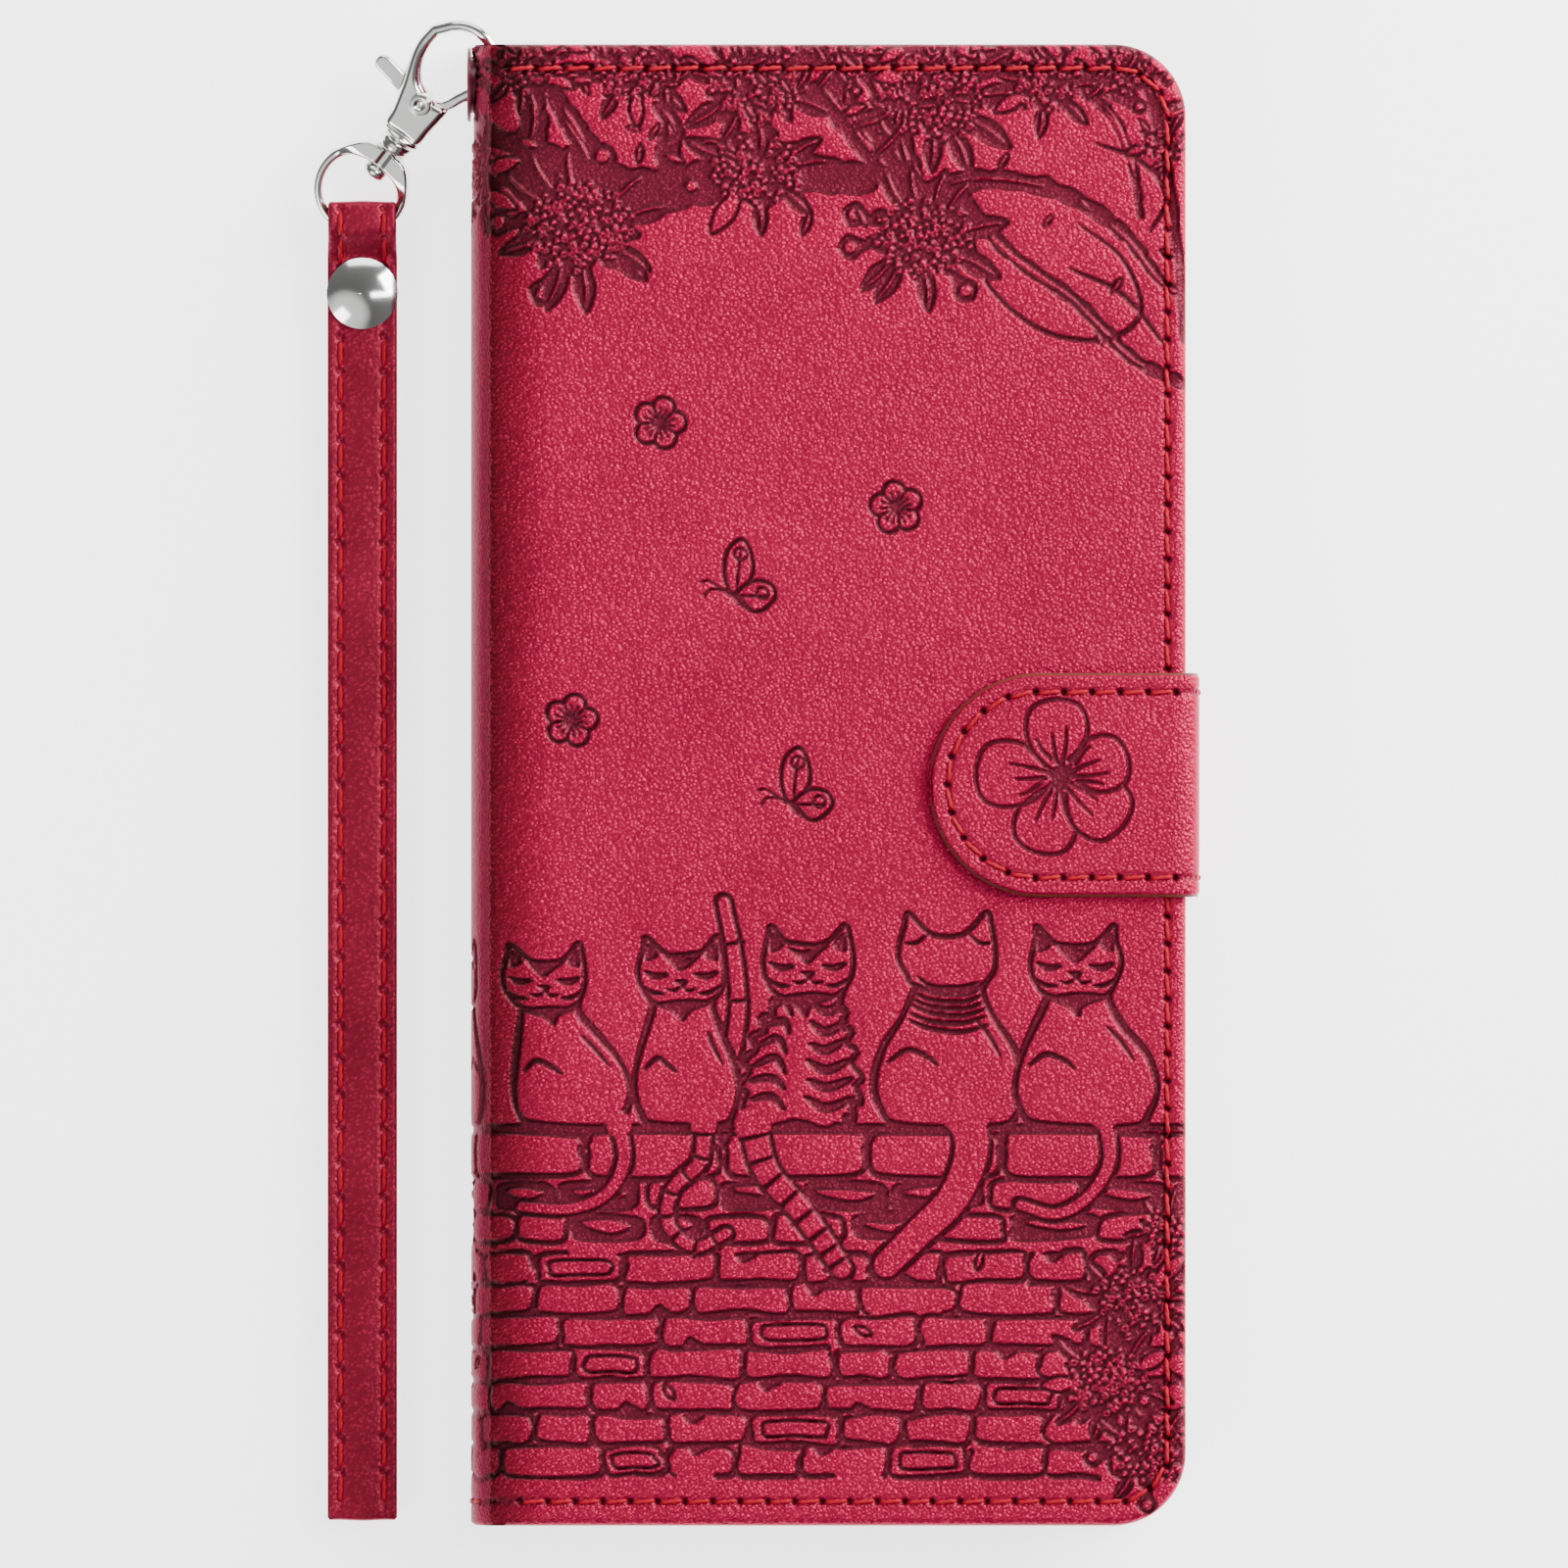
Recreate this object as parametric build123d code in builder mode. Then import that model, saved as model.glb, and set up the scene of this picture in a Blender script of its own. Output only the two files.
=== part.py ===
from build123d import *
from math import atan2, cos, degrees, radians, sin, sqrt
import os

# Phone wallet case with a wrist strap, closed and lying on its back cover. Millimetres.
# The origin is the middle of the back cover's outer face. +X points to the free edge with
# the clasp, +Y to the top of the phone, +Z up through the thickness to the front cover.

os.makedirs("parts", exist_ok=True)

# ------------------------------------------------------------------ driving dimensions
COVER_LENGTH = 166.3          # along Y
CREASE_X = -37.9              # line of both spine folds
FREE_EDGE_X = 40.15           # edge of the covers beside the clasp
FREE_CORNER_RADIUS = 8.2
SPINE_CORNER_RADIUS = 1.2
THICKNESS = 17.5              # closed, outer face to outer face
CREASE_GAP = 0.05             # between a cover and the spine

SKIN = 0.9                    # outer leather
BOARD = 1.0                   # stiffener inside each cover
TURNED_EDGE = 1.2             # leather turned over the board's edge
LINING = 0.5
PANEL = 0.55                  # one card slot leather

SHELL_WIDTH = 75.0            # phone holder, along X
SHELL_LENGTH = 163.0
SHELL_X = 0.5                 # its middle
SHELL_BASE_Z = 2.6
SHELL_HEIGHT = 9.6
SHELL_WALL = 1.4
SHELL_FLOOR = 1.2
SHELL_CORNER_RADIUS = 10.0
SHELL_LIP = 0.7               # the rim hooks over the phone by this much
SHELL_LIP_HEIGHT = 0.8
PORT_WIDTH = 14.0             # charging port in the bottom wall
PORT_HEIGHT = 6.6
SPEAKER_WIDTH = 9.4
SPEAKER_HEIGHT = 1.6
SPEAKER_OFFSET = 17.0         # from the middle of the port
MICROPHONE_RADIUS = 0.9
VOLUME_Y = 44.0               # raised pads over the phone's buttons
VOLUME_LENGTH = 20.0
POWER_Y = 25.0
POWER_LENGTH = 10.0
BUTTON_HEIGHT = 3.0
BUTTON_PROUD = 0.5

CAMERA_X = 21.0
CAMERA_Y = 60.0
CAMERA_WIDTH = 26.0
CAMERA_LENGTH = 30.0
CAMERA_RADIUS = 6.0

SPINE_BULGE = 2.25            # how far the spine bows out past the creases
EYELET_Y = 78.7
EYELET_HOLE_RADIUS = 2.9
EYELET_BARREL_RADIUS = 3.2
EYELET_FLANGE_RADIUS = 4.2
EYELET_FLANGE = 0.4
EYELET_WASHER_RADIUS = 3.6
EYELET_WASHER = 0.2

SEAM_END_INSET = 2.7          # seam from the top and bottom edges
SEAM_EDGE_INSET = 2.1         # seam from the free edge
SEAM_DEPTH = 0.3
SEAM_WIDTH = 0.9
STITCH_PITCH = 3.07
STITCH_LENGTH = 2.3
STITCH_WIDTH = 0.7
STITCH_PROUD = 0.1

CLASP_WIDTH = 24.6            # along Y
CLASP_TIP_X = 11.55
CLASP_OUTER_X = 41.7
CLASP_LEATHER = 1.1
CLASP_UNDER_Z = 17.6
CLASP_TAB_THICKNESS = 1.7
CLASP_FOLD_GAP = 0.3
CLASP_BASE_X = 28.0           # inner end of the leather glued into the back cover
CLASP_BASE_Z = 0.9
CLASP_SEAM_INSET = 1.9
MAGNET_RADIUS = 6.0
MAGNET_X = 23.9
CLASP_MAGNET = 0.6

LOOP_CENTRE_X = -41.5         # of the hook's round loop
LOOP_CENTRE_Y = 81.3
LOOP_RADIUS = 4.15            # to the middle of its wire
LOOP_WIRE_RADIUS = 0.65
HOOK_TILT = 14.0              # the hook slopes down from the spine to the ring
RING_X = -52.6
RING_Y = 67.0
RING_Z = 4.05
RING_RADIUS = 4.85
RING_WIRE_RADIUS = 0.55
COLLAR_RADIUS = 1.8
PIN_RADIUS = 0.7
BOSS_START = 13.0             # distances along the hook from the loop's centre
BOSS_LENGTH = 2.3
NOSE_ANGLE = 115             # where the open loop ends, from the ring's direction
GATE_ANGLE = 98              # where the closed gate ends
RIVET_ALONG = 6.35
RIVET_ACROSS = -0.5
TRIGGER_SLOT = 1.5            # gap between the hook's cheeks
TRIGGER_PLATE = 1.2

STRAP_X = -52.4
STRAP_WIDTH = 7.8
STRAP_TIP_WIDTH = 6.0         # narrowed where it goes through the ring
STRAP_END_Y = -82.8
STRAP_LOOP_END_Y = 65.7
STRAP_UNDER_Z = 0.7
STRAP_TOP_Z = 3.9
STRAP_CROWN_Z = 6.8           # top of the loop round the ring
STRAP_RISE_Y = 59.35
STRAP_SKIN = 0.9
STRAP_BACKING = 0.6
STRAP_RIVET_Y = 55.3
STRAP_RIVET_RADIUS = 4.0
STRAP_POST_RADIUS = 1.0
STRAP_SEAM_INSET = 1.45
STRAP_STITCH_PITCH = 3.85

# ------------------------------------------------------------------ worked out from them
HALF_LENGTH = COVER_LENGTH / 2
MID_Z = THICKNESS / 2
CREST_X = CREASE_X - SPINE_BULGE
SPINE_RADIUS = (MID_Z**2 + SPINE_BULGE**2) / (2 * SPINE_BULGE)
SPINE_AXIS_X = CREST_X + SPINE_RADIUS
SPINE_LINING_RADIUS = SPINE_RADIUS - SKIN
SPINE_INNER_RADIUS = SPINE_LINING_RADIUS - LINING + 0.1
BOARD_TOP = SKIN + BOARD
LINING_TOP = BOARD_TOP + LINING
FRONT_BOARD_Z = THICKNESS - SKIN - BOARD
FRONT_LINING_Z = FRONT_BOARD_Z - LINING
CASH_PANEL_Z = FRONT_LINING_Z - PANEL
CLASP_LOW_HINGE_Z = CLASP_BASE_Z + CLASP_LEATHER / 2 - 0.05
CLASP_TAB_LINING = LINING
SEAM_HALF_LENGTH = HALF_LENGTH - SEAM_END_INSET

ring_way = Vector(RING_X - LOOP_CENTRE_X, RING_Y - LOOP_CENTRE_Y)
RING_ALONG = ring_way.length / cos(radians(HOOK_TILT))
LOOP_CENTRE_Z = RING_Z + RING_ALONG * sin(radians(HOOK_TILT))
flat_way = ring_way.normalized() * cos(radians(HOOK_TILT))
HOOK_WAY = Vector(flat_way.X, flat_way.Y, -sin(radians(HOOK_TILT)))
HOOK_NORMAL = HOOK_WAY.cross(Vector(0, 0, 1)).cross(HOOK_WAY).normalized()
# In the hook's plane, local x runs from the loop's centre to the ring, and local z is up.
HOOK_PLANE = Plane(origin=(LOOP_CENTRE_X, LOOP_CENTRE_Y, LOOP_CENTRE_Z), x_dir=HOOK_WAY, z_dir=HOOK_NORMAL)
STRAP_PLANE = Plane(origin=(STRAP_X, 0, 0), x_dir=(0, 1, 0), z_dir=(1, 0, 0))


# ------------------------------------------------------------------ shared outlines
def save(part, name):
    """Label a finished piece and write it to its own file."""
    part.label = name
    export_step(part, f"parts/{name}.step")


def cover_outline(inset=0.0, crease_inset=0.0):
    """Outline of a cover, nearly square at the crease and rounded at the free edge."""
    left = CREASE_X + crease_inset
    right = FREE_EDGE_X - inset
    half = HALF_LENGTH - inset
    round_free = FREE_CORNER_RADIUS - inset
    corners = [(left, -half), (right, -half), (right, half), (left, half)]
    radii = [SPINE_CORNER_RADIUS, round_free, round_free, SPINE_CORNER_RADIUS]
    with BuildLine() as outline:
        FilletPolyline(*corners, radius=radii, close=True)
    make_face(outline.edges())


def camera_window(margin=0.0, mode=Mode.SUBTRACT):
    """The camera's opening, grown by a margin."""
    with Locations((CAMERA_X, CAMERA_Y)):
        width = CAMERA_WIDTH + 2 * margin
        RectangleRounded(width, CAMERA_LENGTH + 2 * margin, CAMERA_RADIUS + margin, mode=mode)


def cover_seam():
    """Path of the seam along the top edge, the free edge and the bottom edge of a cover."""
    left = CREASE_X + STITCH_PITCH / 4
    right = FREE_EDGE_X - SEAM_EDGE_INSET
    corners = [(left, SEAM_HALF_LENGTH), (right, SEAM_HALF_LENGTH)]
    corners += [(right, -SEAM_HALF_LENGTH), (left, -SEAM_HALF_LENGTH)]
    with BuildLine() as seam:
        FilletPolyline(*corners, radius=FREE_CORNER_RADIUS - SEAM_EDGE_INSET)
    return seam.wire()


def clasp_seam():
    """Path of the seam round the clasp's tab."""
    reach = CLASP_WIDTH / 2 - CLASP_SEAM_INSET
    end = CLASP_OUTER_X - CLASP_LEATHER - CLASP_SEAM_INSET / 2
    middle = CLASP_TIP_X + CLASP_WIDTH / 2
    with BuildLine() as seam:
        Line((end, reach), (middle, reach))
        ThreePointArc((middle, reach), (middle - reach, 0), (middle, -reach))
        Line((middle, -reach), (end, -reach))
    return seam.wire()


def stitch_places(path, pitch):
    """Place and turn of each stitch, evenly spaced along a seam."""
    count = int(path.length / pitch)
    start = (path.length - (count - 1) * pitch) / 2
    places = []
    for number in range(count):
        distance = start + number * pitch
        point = path.position_at(distance, PositionMode.LENGTH)
        way = path.tangent_at(distance, PositionMode.LENGTH)
        places.append(Location((point.X, point.Y, 0), (0, 0, degrees(atan2(way.Y, way.X)))))
    return places


def stitch_row(path, pitch=STITCH_PITCH):
    """Flat outlines of all stitches along a seam."""
    with Locations(*stitch_places(path, pitch)):
        SlotOverall(STITCH_LENGTH, STITCH_WIDTH)


def spine_section(outer, inner):
    """Section of one bowed layer of the spine between two radii, cut off at the creases."""
    left = CREASE_X - CREASE_GAP
    outer_half = sqrt(outer**2 - (SPINE_AXIS_X - left) ** 2)
    inner_half = sqrt(inner**2 - (SPINE_AXIS_X - left) ** 2)
    with BuildLine() as outline:
        ThreePointArc((left, MID_Z - outer_half), (SPINE_AXIS_X - outer, MID_Z), (left, MID_Z + outer_half))
        Line((left, MID_Z + outer_half), (left, MID_Z + inner_half))
        ThreePointArc((left, MID_Z + inner_half), (SPINE_AXIS_X - inner, MID_Z), (left, MID_Z - inner_half))
        Line((left, MID_Z - inner_half), (left, MID_Z - outer_half))
    make_face(outline.edges())


def eyelet_face(x):
    """Plane across the eyelet's axis at one X, facing outwards."""
    return Plane(origin=(x, EYELET_Y, MID_Z), x_dir=(0, 1, 0), z_dir=(-1, 0, 0))


def clasp_outline(inset=0.0):
    """Outline of the clasp's tab, a half circle at its tip."""
    half = CLASP_WIDTH / 2 - inset
    middle = CLASP_TIP_X + CLASP_WIDTH / 2
    end = CLASP_OUTER_X
    with BuildLine() as outline:
        Line((end, half), (middle, half))
        ThreePointArc((middle, half), (middle - half, 0), (middle, -half))
        Line((middle, -half), (end, -half))
        Line((end, -half), (end, half))
    make_face(outline.edges())


def strap_outline(inset):
    """Side outline of the folded wrist strap, moved inwards by an inset."""
    low = STRAP_UNDER_Z + inset
    high = STRAP_TOP_Z - inset
    crown = STRAP_CROWN_Z - inset
    end = STRAP_END_Y + inset
    tip = STRAP_LOOP_END_Y - inset
    lean = inset * (sqrt(2) - 1)
    rise = STRAP_CROWN_Z - STRAP_TOP_Z
    fold_radius = (high - low) / 2 - 0.01
    tip_radius = 0.39 * (crown - low)
    shoulder_radius = max(0.8 - inset, 0)
    shoulder = STRAP_RISE_Y + lean
    points = [(end, low), (tip, low), (tip, crown), (shoulder + rise, crown), (shoulder, high), (end, high)]
    radii = [fold_radius, tip_radius, tip_radius, shoulder_radius, 1.0 + inset, fold_radius]
    with BuildLine() as outline:
        FilletPolyline(*points, radius=radii, close=True)
    make_face(outline.edges())


def narrow_strap_tip():
    """Trim both edges of the strap where it goes through the ring."""
    margin = (STRAP_WIDTH - STRAP_TIP_WIDTH) / 2
    length = STRAP_LOOP_END_Y - STRAP_RISE_Y
    with BuildSketch(Plane.XY) as trimmings:
        for side in (-1, 1):
            edge = STRAP_X + side * STRAP_WIDTH / 2
            with BuildLine() as outline:
                Polyline(
                    (edge + side, STRAP_RISE_Y),
                    (edge, STRAP_RISE_Y),
                    (edge - side * margin, STRAP_RISE_Y + 2 * margin),
                    (edge - side * margin, STRAP_RISE_Y + length + 1),
                    (edge + side, STRAP_RISE_Y + length + 1),
                    close=True,
                )
            make_face(outline.edges())
    extrude(trimmings.sketch, amount=STRAP_CROWN_Z + 1, mode=Mode.SUBTRACT)


def strap_seams():
    """Paths of the two rows of stitches down the strap."""
    rows = []
    for side in (-1, 1):
        x = STRAP_X + side * (STRAP_WIDTH / 2 - STRAP_SEAM_INSET)
        with BuildLine() as row:
            Line((x, STRAP_END_Y + STRAP_STITCH_PITCH / 2), (x, STRAP_RISE_Y - 1))
        rows.append(row.wire())
    return rows


def rivet_hole():
    """Hole through both layers of the strap for its rivet."""
    with Locations((STRAP_X, STRAP_RIVET_Y, STRAP_TOP_Z)):
        Hole(STRAP_POST_RADIUS, depth=STRAP_TOP_Z)


# ------------------------------------------------------------------ back cover
def make_outer_leather(name, facing):
    """Leather of one cover, a shallow tray that holds the board, with a groove for the seam."""
    is_back = facing == "down"
    face_z = 0 if is_back else THICKNESS
    inward = 1 if is_back else -1
    with BuildPart() as leather:
        with BuildSketch(Plane.XY.offset(face_z)):
            cover_outline()
            if is_back:
                camera_window()
        extrude(amount=inward * (SKIN + BOARD))
        with BuildSketch(Plane.XY.offset(face_z + inward * SKIN)):
            cover_outline(TURNED_EDGE, TURNED_EDGE)
            if is_back:
                camera_window(TURNED_EDGE)
        extrude(amount=inward * BOARD, mode=Mode.SUBTRACT)
        with BuildSketch(Plane.XY.offset(face_z)):
            trace(cover_seam(), line_width=SEAM_WIDTH)
        extrude(amount=inward * SEAM_DEPTH, mode=Mode.SUBTRACT)
        if is_back:
            with BuildSketch(Plane.XY.offset(CLASP_BASE_Z)):
                with Locations((FREE_EDGE_X, 0)):
                    Rectangle(4 * TURNED_EDGE, CLASP_WIDTH)
            extrude(amount=BOARD, mode=Mode.SUBTRACT)
    save(leather.part, name)


def make_back_board():
    """Stiffener of the back cover, notched for the clasp's leather."""
    with BuildPart() as back_board:
        with BuildSketch(Plane.XY.offset(SKIN)):
            cover_outline(TURNED_EDGE, TURNED_EDGE)
            camera_window(TURNED_EDGE)
            with Locations((CLASP_BASE_X, 0)):
                Rectangle(FREE_EDGE_X, CLASP_WIDTH, align=(Align.MIN, Align.CENTER), mode=Mode.SUBTRACT)
        extrude(amount=BOARD)
    save(back_board.part, "back_board")


def make_back_lining():
    """Suede lining over the board, under the phone holder."""
    with BuildPart() as back_lining:
        with BuildSketch(Plane.XY.offset(BOARD_TOP)):
            cover_outline(LINING)
            camera_window(LINING)
        extrude(amount=LINING)
    save(back_lining.part, "back_lining")


def make_stitching(name, face_z, outward):
    """Stitches of a cover seam, lying in its groove."""
    with BuildPart() as stitching:
        with BuildSketch(Plane.XY.offset(face_z - outward * SEAM_DEPTH)):
            stitch_row(cover_seam())
        extrude(amount=outward * SEAM_DEPTH + max(outward, 0) * STITCH_PROUD)
    save(stitching.part, name)


def make_shell_adhesive():
    """Adhesive sheet between the lining and the phone holder."""
    with BuildPart() as shell_adhesive:
        with BuildSketch(Plane.XY.offset(LINING_TOP)):
            with Locations((SHELL_X, 0)):
                RectangleRounded(SHELL_WIDTH - 8, SHELL_LENGTH - 8, SHELL_CORNER_RADIUS - 4)
            camera_window(2)
        extrude(amount=SHELL_BASE_Z - LINING_TOP)
    save(shell_adhesive.part, "shell_adhesive")


def make_phone_shell():
    """Soft plastic tray that grips the phone, with its camera, port and button details."""
    rim_z = SHELL_BASE_Z + SHELL_HEIGHT
    floor_z = SHELL_BASE_Z + SHELL_FLOOR
    port_z = SHELL_BASE_Z + SHELL_HEIGHT / 2 + 0.6
    with BuildPart() as phone_shell:
        with BuildSketch(Plane.XY.offset(SHELL_BASE_Z)):
            with Locations((SHELL_X, 0)):
                RectangleRounded(SHELL_WIDTH, SHELL_LENGTH, SHELL_CORNER_RADIUS)
        extrude(amount=SHELL_HEIGHT)
        fillet(phone_shell.edges().group_by(Axis.Z)[0], radius=1.6)
        fillet(phone_shell.edges().group_by(Axis.Z)[-1], radius=0.4)
        with BuildSketch(Plane.XY.offset(floor_z)):
            with Locations((SHELL_X, 0)):
                width = SHELL_WIDTH - 2 * SHELL_WALL
                length = SHELL_LENGTH - 2 * SHELL_WALL
                RectangleRounded(width, length, SHELL_CORNER_RADIUS - SHELL_WALL)
        extrude(amount=SHELL_HEIGHT - SHELL_FLOOR - SHELL_LIP_HEIGHT, mode=Mode.SUBTRACT)
        with BuildSketch(Plane.XY.offset(rim_z - SHELL_LIP_HEIGHT)):
            with Locations((SHELL_X, 0)):
                grip = 2 * (SHELL_WALL + SHELL_LIP)
                radius = SHELL_CORNER_RADIUS - SHELL_WALL - SHELL_LIP
                RectangleRounded(SHELL_WIDTH - grip, SHELL_LENGTH - grip, radius)
        extrude(amount=SHELL_LIP_HEIGHT, mode=Mode.SUBTRACT)
        with BuildSketch(Plane.XY.offset(SHELL_BASE_Z)):
            camera_window(-0.6, mode=Mode.ADD)
        extrude(amount=SHELL_FLOOR, mode=Mode.SUBTRACT)
        # charging port and a speaker slot on each side of it in the bottom wall
        with BuildSketch(Plane(origin=(SHELL_X, -SHELL_LENGTH / 2, port_z), z_dir=(0, -1, 0))):
            SlotOverall(PORT_WIDTH, PORT_HEIGHT)
            with Locations((-SPEAKER_OFFSET, 0), (SPEAKER_OFFSET, 0)):
                SlotOverall(SPEAKER_WIDTH, SPEAKER_HEIGHT)
        extrude(amount=-2 * SHELL_WALL, mode=Mode.SUBTRACT)
        # microphone hole in the top wall
        with BuildSketch(Plane(origin=(SHELL_X + 14, SHELL_LENGTH / 2, port_z), z_dir=(0, 1, 0))):
            Circle(MICROPHONE_RADIUS)
        extrude(amount=-2 * SHELL_WALL, mode=Mode.SUBTRACT)
        # raised pads over the phone's volume and power buttons
        side_x = SHELL_X + SHELL_WIDTH / 2
        with BuildSketch(Plane(origin=(side_x, 0, port_z), x_dir=(0, 1, 0), z_dir=(1, 0, 0))):
            with Locations((VOLUME_Y, 0)):
                SlotOverall(VOLUME_LENGTH, BUTTON_HEIGHT)
            with Locations((POWER_Y, 0)):
                SlotOverall(POWER_LENGTH, BUTTON_HEIGHT)
        extrude(amount=BUTTON_PROUD)
    save(phone_shell.part, "phone_shell")


def make_clasp_base():
    """End of the clasp's leather, glued into the back cover between board and lining."""
    with BuildPart() as clasp_base_leather:
        with BuildSketch(Plane.XY.offset(CLASP_BASE_Z)):
            with Locations((CLASP_BASE_X + CREASE_GAP, 0)):
                length = CLASP_OUTER_X - CLASP_LEATHER - CLASP_BASE_X - 2 * CREASE_GAP
                Rectangle(length, CLASP_WIDTH, align=(Align.MIN, Align.CENTER))
        extrude(amount=BOARD)
    save(clasp_base_leather.part, "clasp_base_leather")


# ------------------------------------------------------------------ spine
def make_spine_layer(name, outer, inner, grooved):
    """One bowed layer of the spine with the eyelet's hole and, outside, the seam's groove."""
    with BuildPart() as layer:
        with BuildSketch(Plane.XZ):
            spine_section(outer, inner)
        extrude(amount=HALF_LENGTH, both=True)
        with Locations(eyelet_face(CREST_X - 1)):
            Hole(EYELET_BARREL_RADIUS, depth=5)
        if grooved:
            for side in (-1, 1):
                with BuildSketch(Plane.XZ.offset(side * SEAM_HALF_LENGTH)):
                    spine_section(outer, outer - SEAM_DEPTH)
                extrude(amount=SEAM_WIDTH / 2, both=True, mode=Mode.SUBTRACT)
    save(layer.part, name)


def make_spine_stitching():
    """Stitches across the spine at its top and bottom ends."""
    bed = SPINE_RADIUS - SEAM_DEPTH
    all_across = (-2, -1, 0, 1, 2)
    beside_eyelet = (-2, 2)
    planes = []
    for end, row in ((-1, all_across), (1, beside_eyelet)):
        for number in row:
            turn = number * STITCH_PITCH / SPINE_RADIUS
            outward = Vector(-cos(turn), 0, sin(turn))
            along = Vector(sin(turn), 0, cos(turn))
            middle = Vector(SPINE_AXIS_X, end * SEAM_HALF_LENGTH, MID_Z) + outward * bed
            planes.append(Plane(origin=middle, x_dir=along, z_dir=outward))
    with BuildPart() as spine_stitching:
        with BuildSketch(*planes):
            SlotOverall(STITCH_LENGTH, STITCH_WIDTH)
        extrude(amount=SEAM_DEPTH)
    save(spine_stitching.part, "spine_stitching")


def make_eyelet():
    """Metal eyelet in the spine and the washer that it is rolled over."""
    inner_x = SPINE_AXIS_X - sqrt(SPINE_INNER_RADIUS**2 - EYELET_WASHER_RADIUS**2)
    with BuildPart() as eyelet:
        with BuildSketch(eyelet_face(CREST_X)):
            Circle(EYELET_FLANGE_RADIUS)
            Circle(EYELET_HOLE_RADIUS, mode=Mode.SUBTRACT)
        extrude(amount=EYELET_FLANGE)
        fillet(eyelet.edges().group_by(Axis.X)[0], radius=0.18)
        with BuildSketch(eyelet_face(CREST_X)):
            Circle(EYELET_BARREL_RADIUS)
            Circle(EYELET_HOLE_RADIUS, mode=Mode.SUBTRACT)
        extrude(amount=CREST_X - inner_x - EYELET_WASHER)
    save(eyelet.part, "eyelet")
    with BuildPart() as eyelet_washer:
        with BuildSketch(eyelet_face(inner_x + EYELET_WASHER)):
            Circle(EYELET_WASHER_RADIUS)
            Circle(EYELET_BARREL_RADIUS, mode=Mode.SUBTRACT)
        extrude(amount=EYELET_WASHER)
    save(eyelet_washer.part, "eyelet_washer")


# ------------------------------------------------------------------ front cover
def make_front_board():
    """Stiffener of the front cover with a seat for the magnet."""
    with BuildPart() as front_board:
        with BuildSketch(Plane.XY.offset(FRONT_BOARD_Z)):
            cover_outline(TURNED_EDGE, TURNED_EDGE)
            with Locations((MAGNET_X, 0)):
                Circle(MAGNET_RADIUS, mode=Mode.SUBTRACT)
        extrude(amount=BOARD)
    save(front_board.part, "front_board")


def make_magnet(name, base_z, height):
    """Flat round magnet of the clasp."""
    with BuildPart() as magnet:
        with BuildSketch(Plane.XY.offset(base_z)):
            with Locations((MAGNET_X, 0)):
                Circle(MAGNET_RADIUS - 0.05)
        extrude(amount=height)
    save(magnet.part, name)


def make_front_lining():
    """Lining on the inside of the front cover."""
    with BuildPart() as front_lining:
        with BuildSketch(Plane.XY.offset(FRONT_LINING_Z)):
            cover_outline(LINING)
        extrude(amount=LINING)
    save(front_lining.part, "front_lining")


def make_pocket_panel(name, top_y, base_z, notch_radius):
    """One pocket leather on the inside of the front cover, open at its top edge."""
    left = CREASE_X + 4.0
    right = FREE_EDGE_X - 1.2
    bottom = -HALF_LENGTH + 1.2
    corners = [(left, bottom), (right, bottom), (right, top_y), (left, top_y)]
    radii = [1.0, FREE_CORNER_RADIUS - 1.2, 1.0, 1.0]
    with BuildPart() as panel:
        with BuildSketch(Plane.XY.offset(base_z)):
            with BuildLine() as outline:
                FilletPolyline(*corners, radius=radii, close=True)
            make_face(outline.edges())
            with Locations(((left + right) / 2, top_y)):
                SlotOverall(3 * notch_radius, 2 * notch_radius, mode=Mode.SUBTRACT)
        extrude(amount=PANEL)
    save(panel.part, name)


def make_pockets():
    """Cash pocket and three stepped card slots, each lying over the one behind it."""
    make_pocket_panel("cash_pocket_panel", 62.0, CASH_PANEL_Z, 6.0)
    for number in range(3):
        top_y = 20.0 - 15.0 * number
        base_z = CASH_PANEL_Z - PANEL * (number + 1)
        make_pocket_panel(f"card_slot_{number + 1}", top_y, base_z, 5.0)


# ------------------------------------------------------------------ clasp
def make_clasp_side():
    """Leather standing beside the free edge, between the clasp's two folds, with its stitches."""
    low = CLASP_LOW_HINGE_Z
    high = CLASP_UNDER_Z - CLASP_FOLD_GAP
    reach = CLASP_WIDTH / 2 - CLASP_SEAM_INSET
    with BuildPart() as clasp_side_leather:
        with BuildSketch(Plane(origin=(CLASP_OUTER_X, 0, 0), x_dir=(0, 1, 0), z_dir=(1, 0, 0))):
            with Locations((0, (low + high) / 2)):
                Rectangle(CLASP_WIDTH, high - low)
        extrude(amount=-CLASP_LEATHER)
        with BuildSketch(Plane(origin=(CLASP_OUTER_X, 0, 0), x_dir=(0, 1, 0), z_dir=(1, 0, 0))):
            with Locations((-reach, (low + high) / 2), (reach, (low + high) / 2)):
                Rectangle(SEAM_WIDTH, high - low)
        extrude(amount=-SEAM_DEPTH, mode=Mode.SUBTRACT)
    save(clasp_side_leather.part, "clasp_side_leather")

    bed = Plane(origin=(CLASP_OUTER_X - SEAM_DEPTH, 0, MID_Z), x_dir=(0, 0, 1), z_dir=(1, 0, 0))
    with BuildPart() as clasp_side_stitching:
        with BuildSketch(bed):
            with GridLocations(STITCH_PITCH, 2 * reach, 4, 2):
                SlotOverall(STITCH_LENGTH, STITCH_WIDTH)
        extrude(amount=SEAM_DEPTH)
    save(clasp_side_stitching.part, "clasp_side_stitching")


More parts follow.
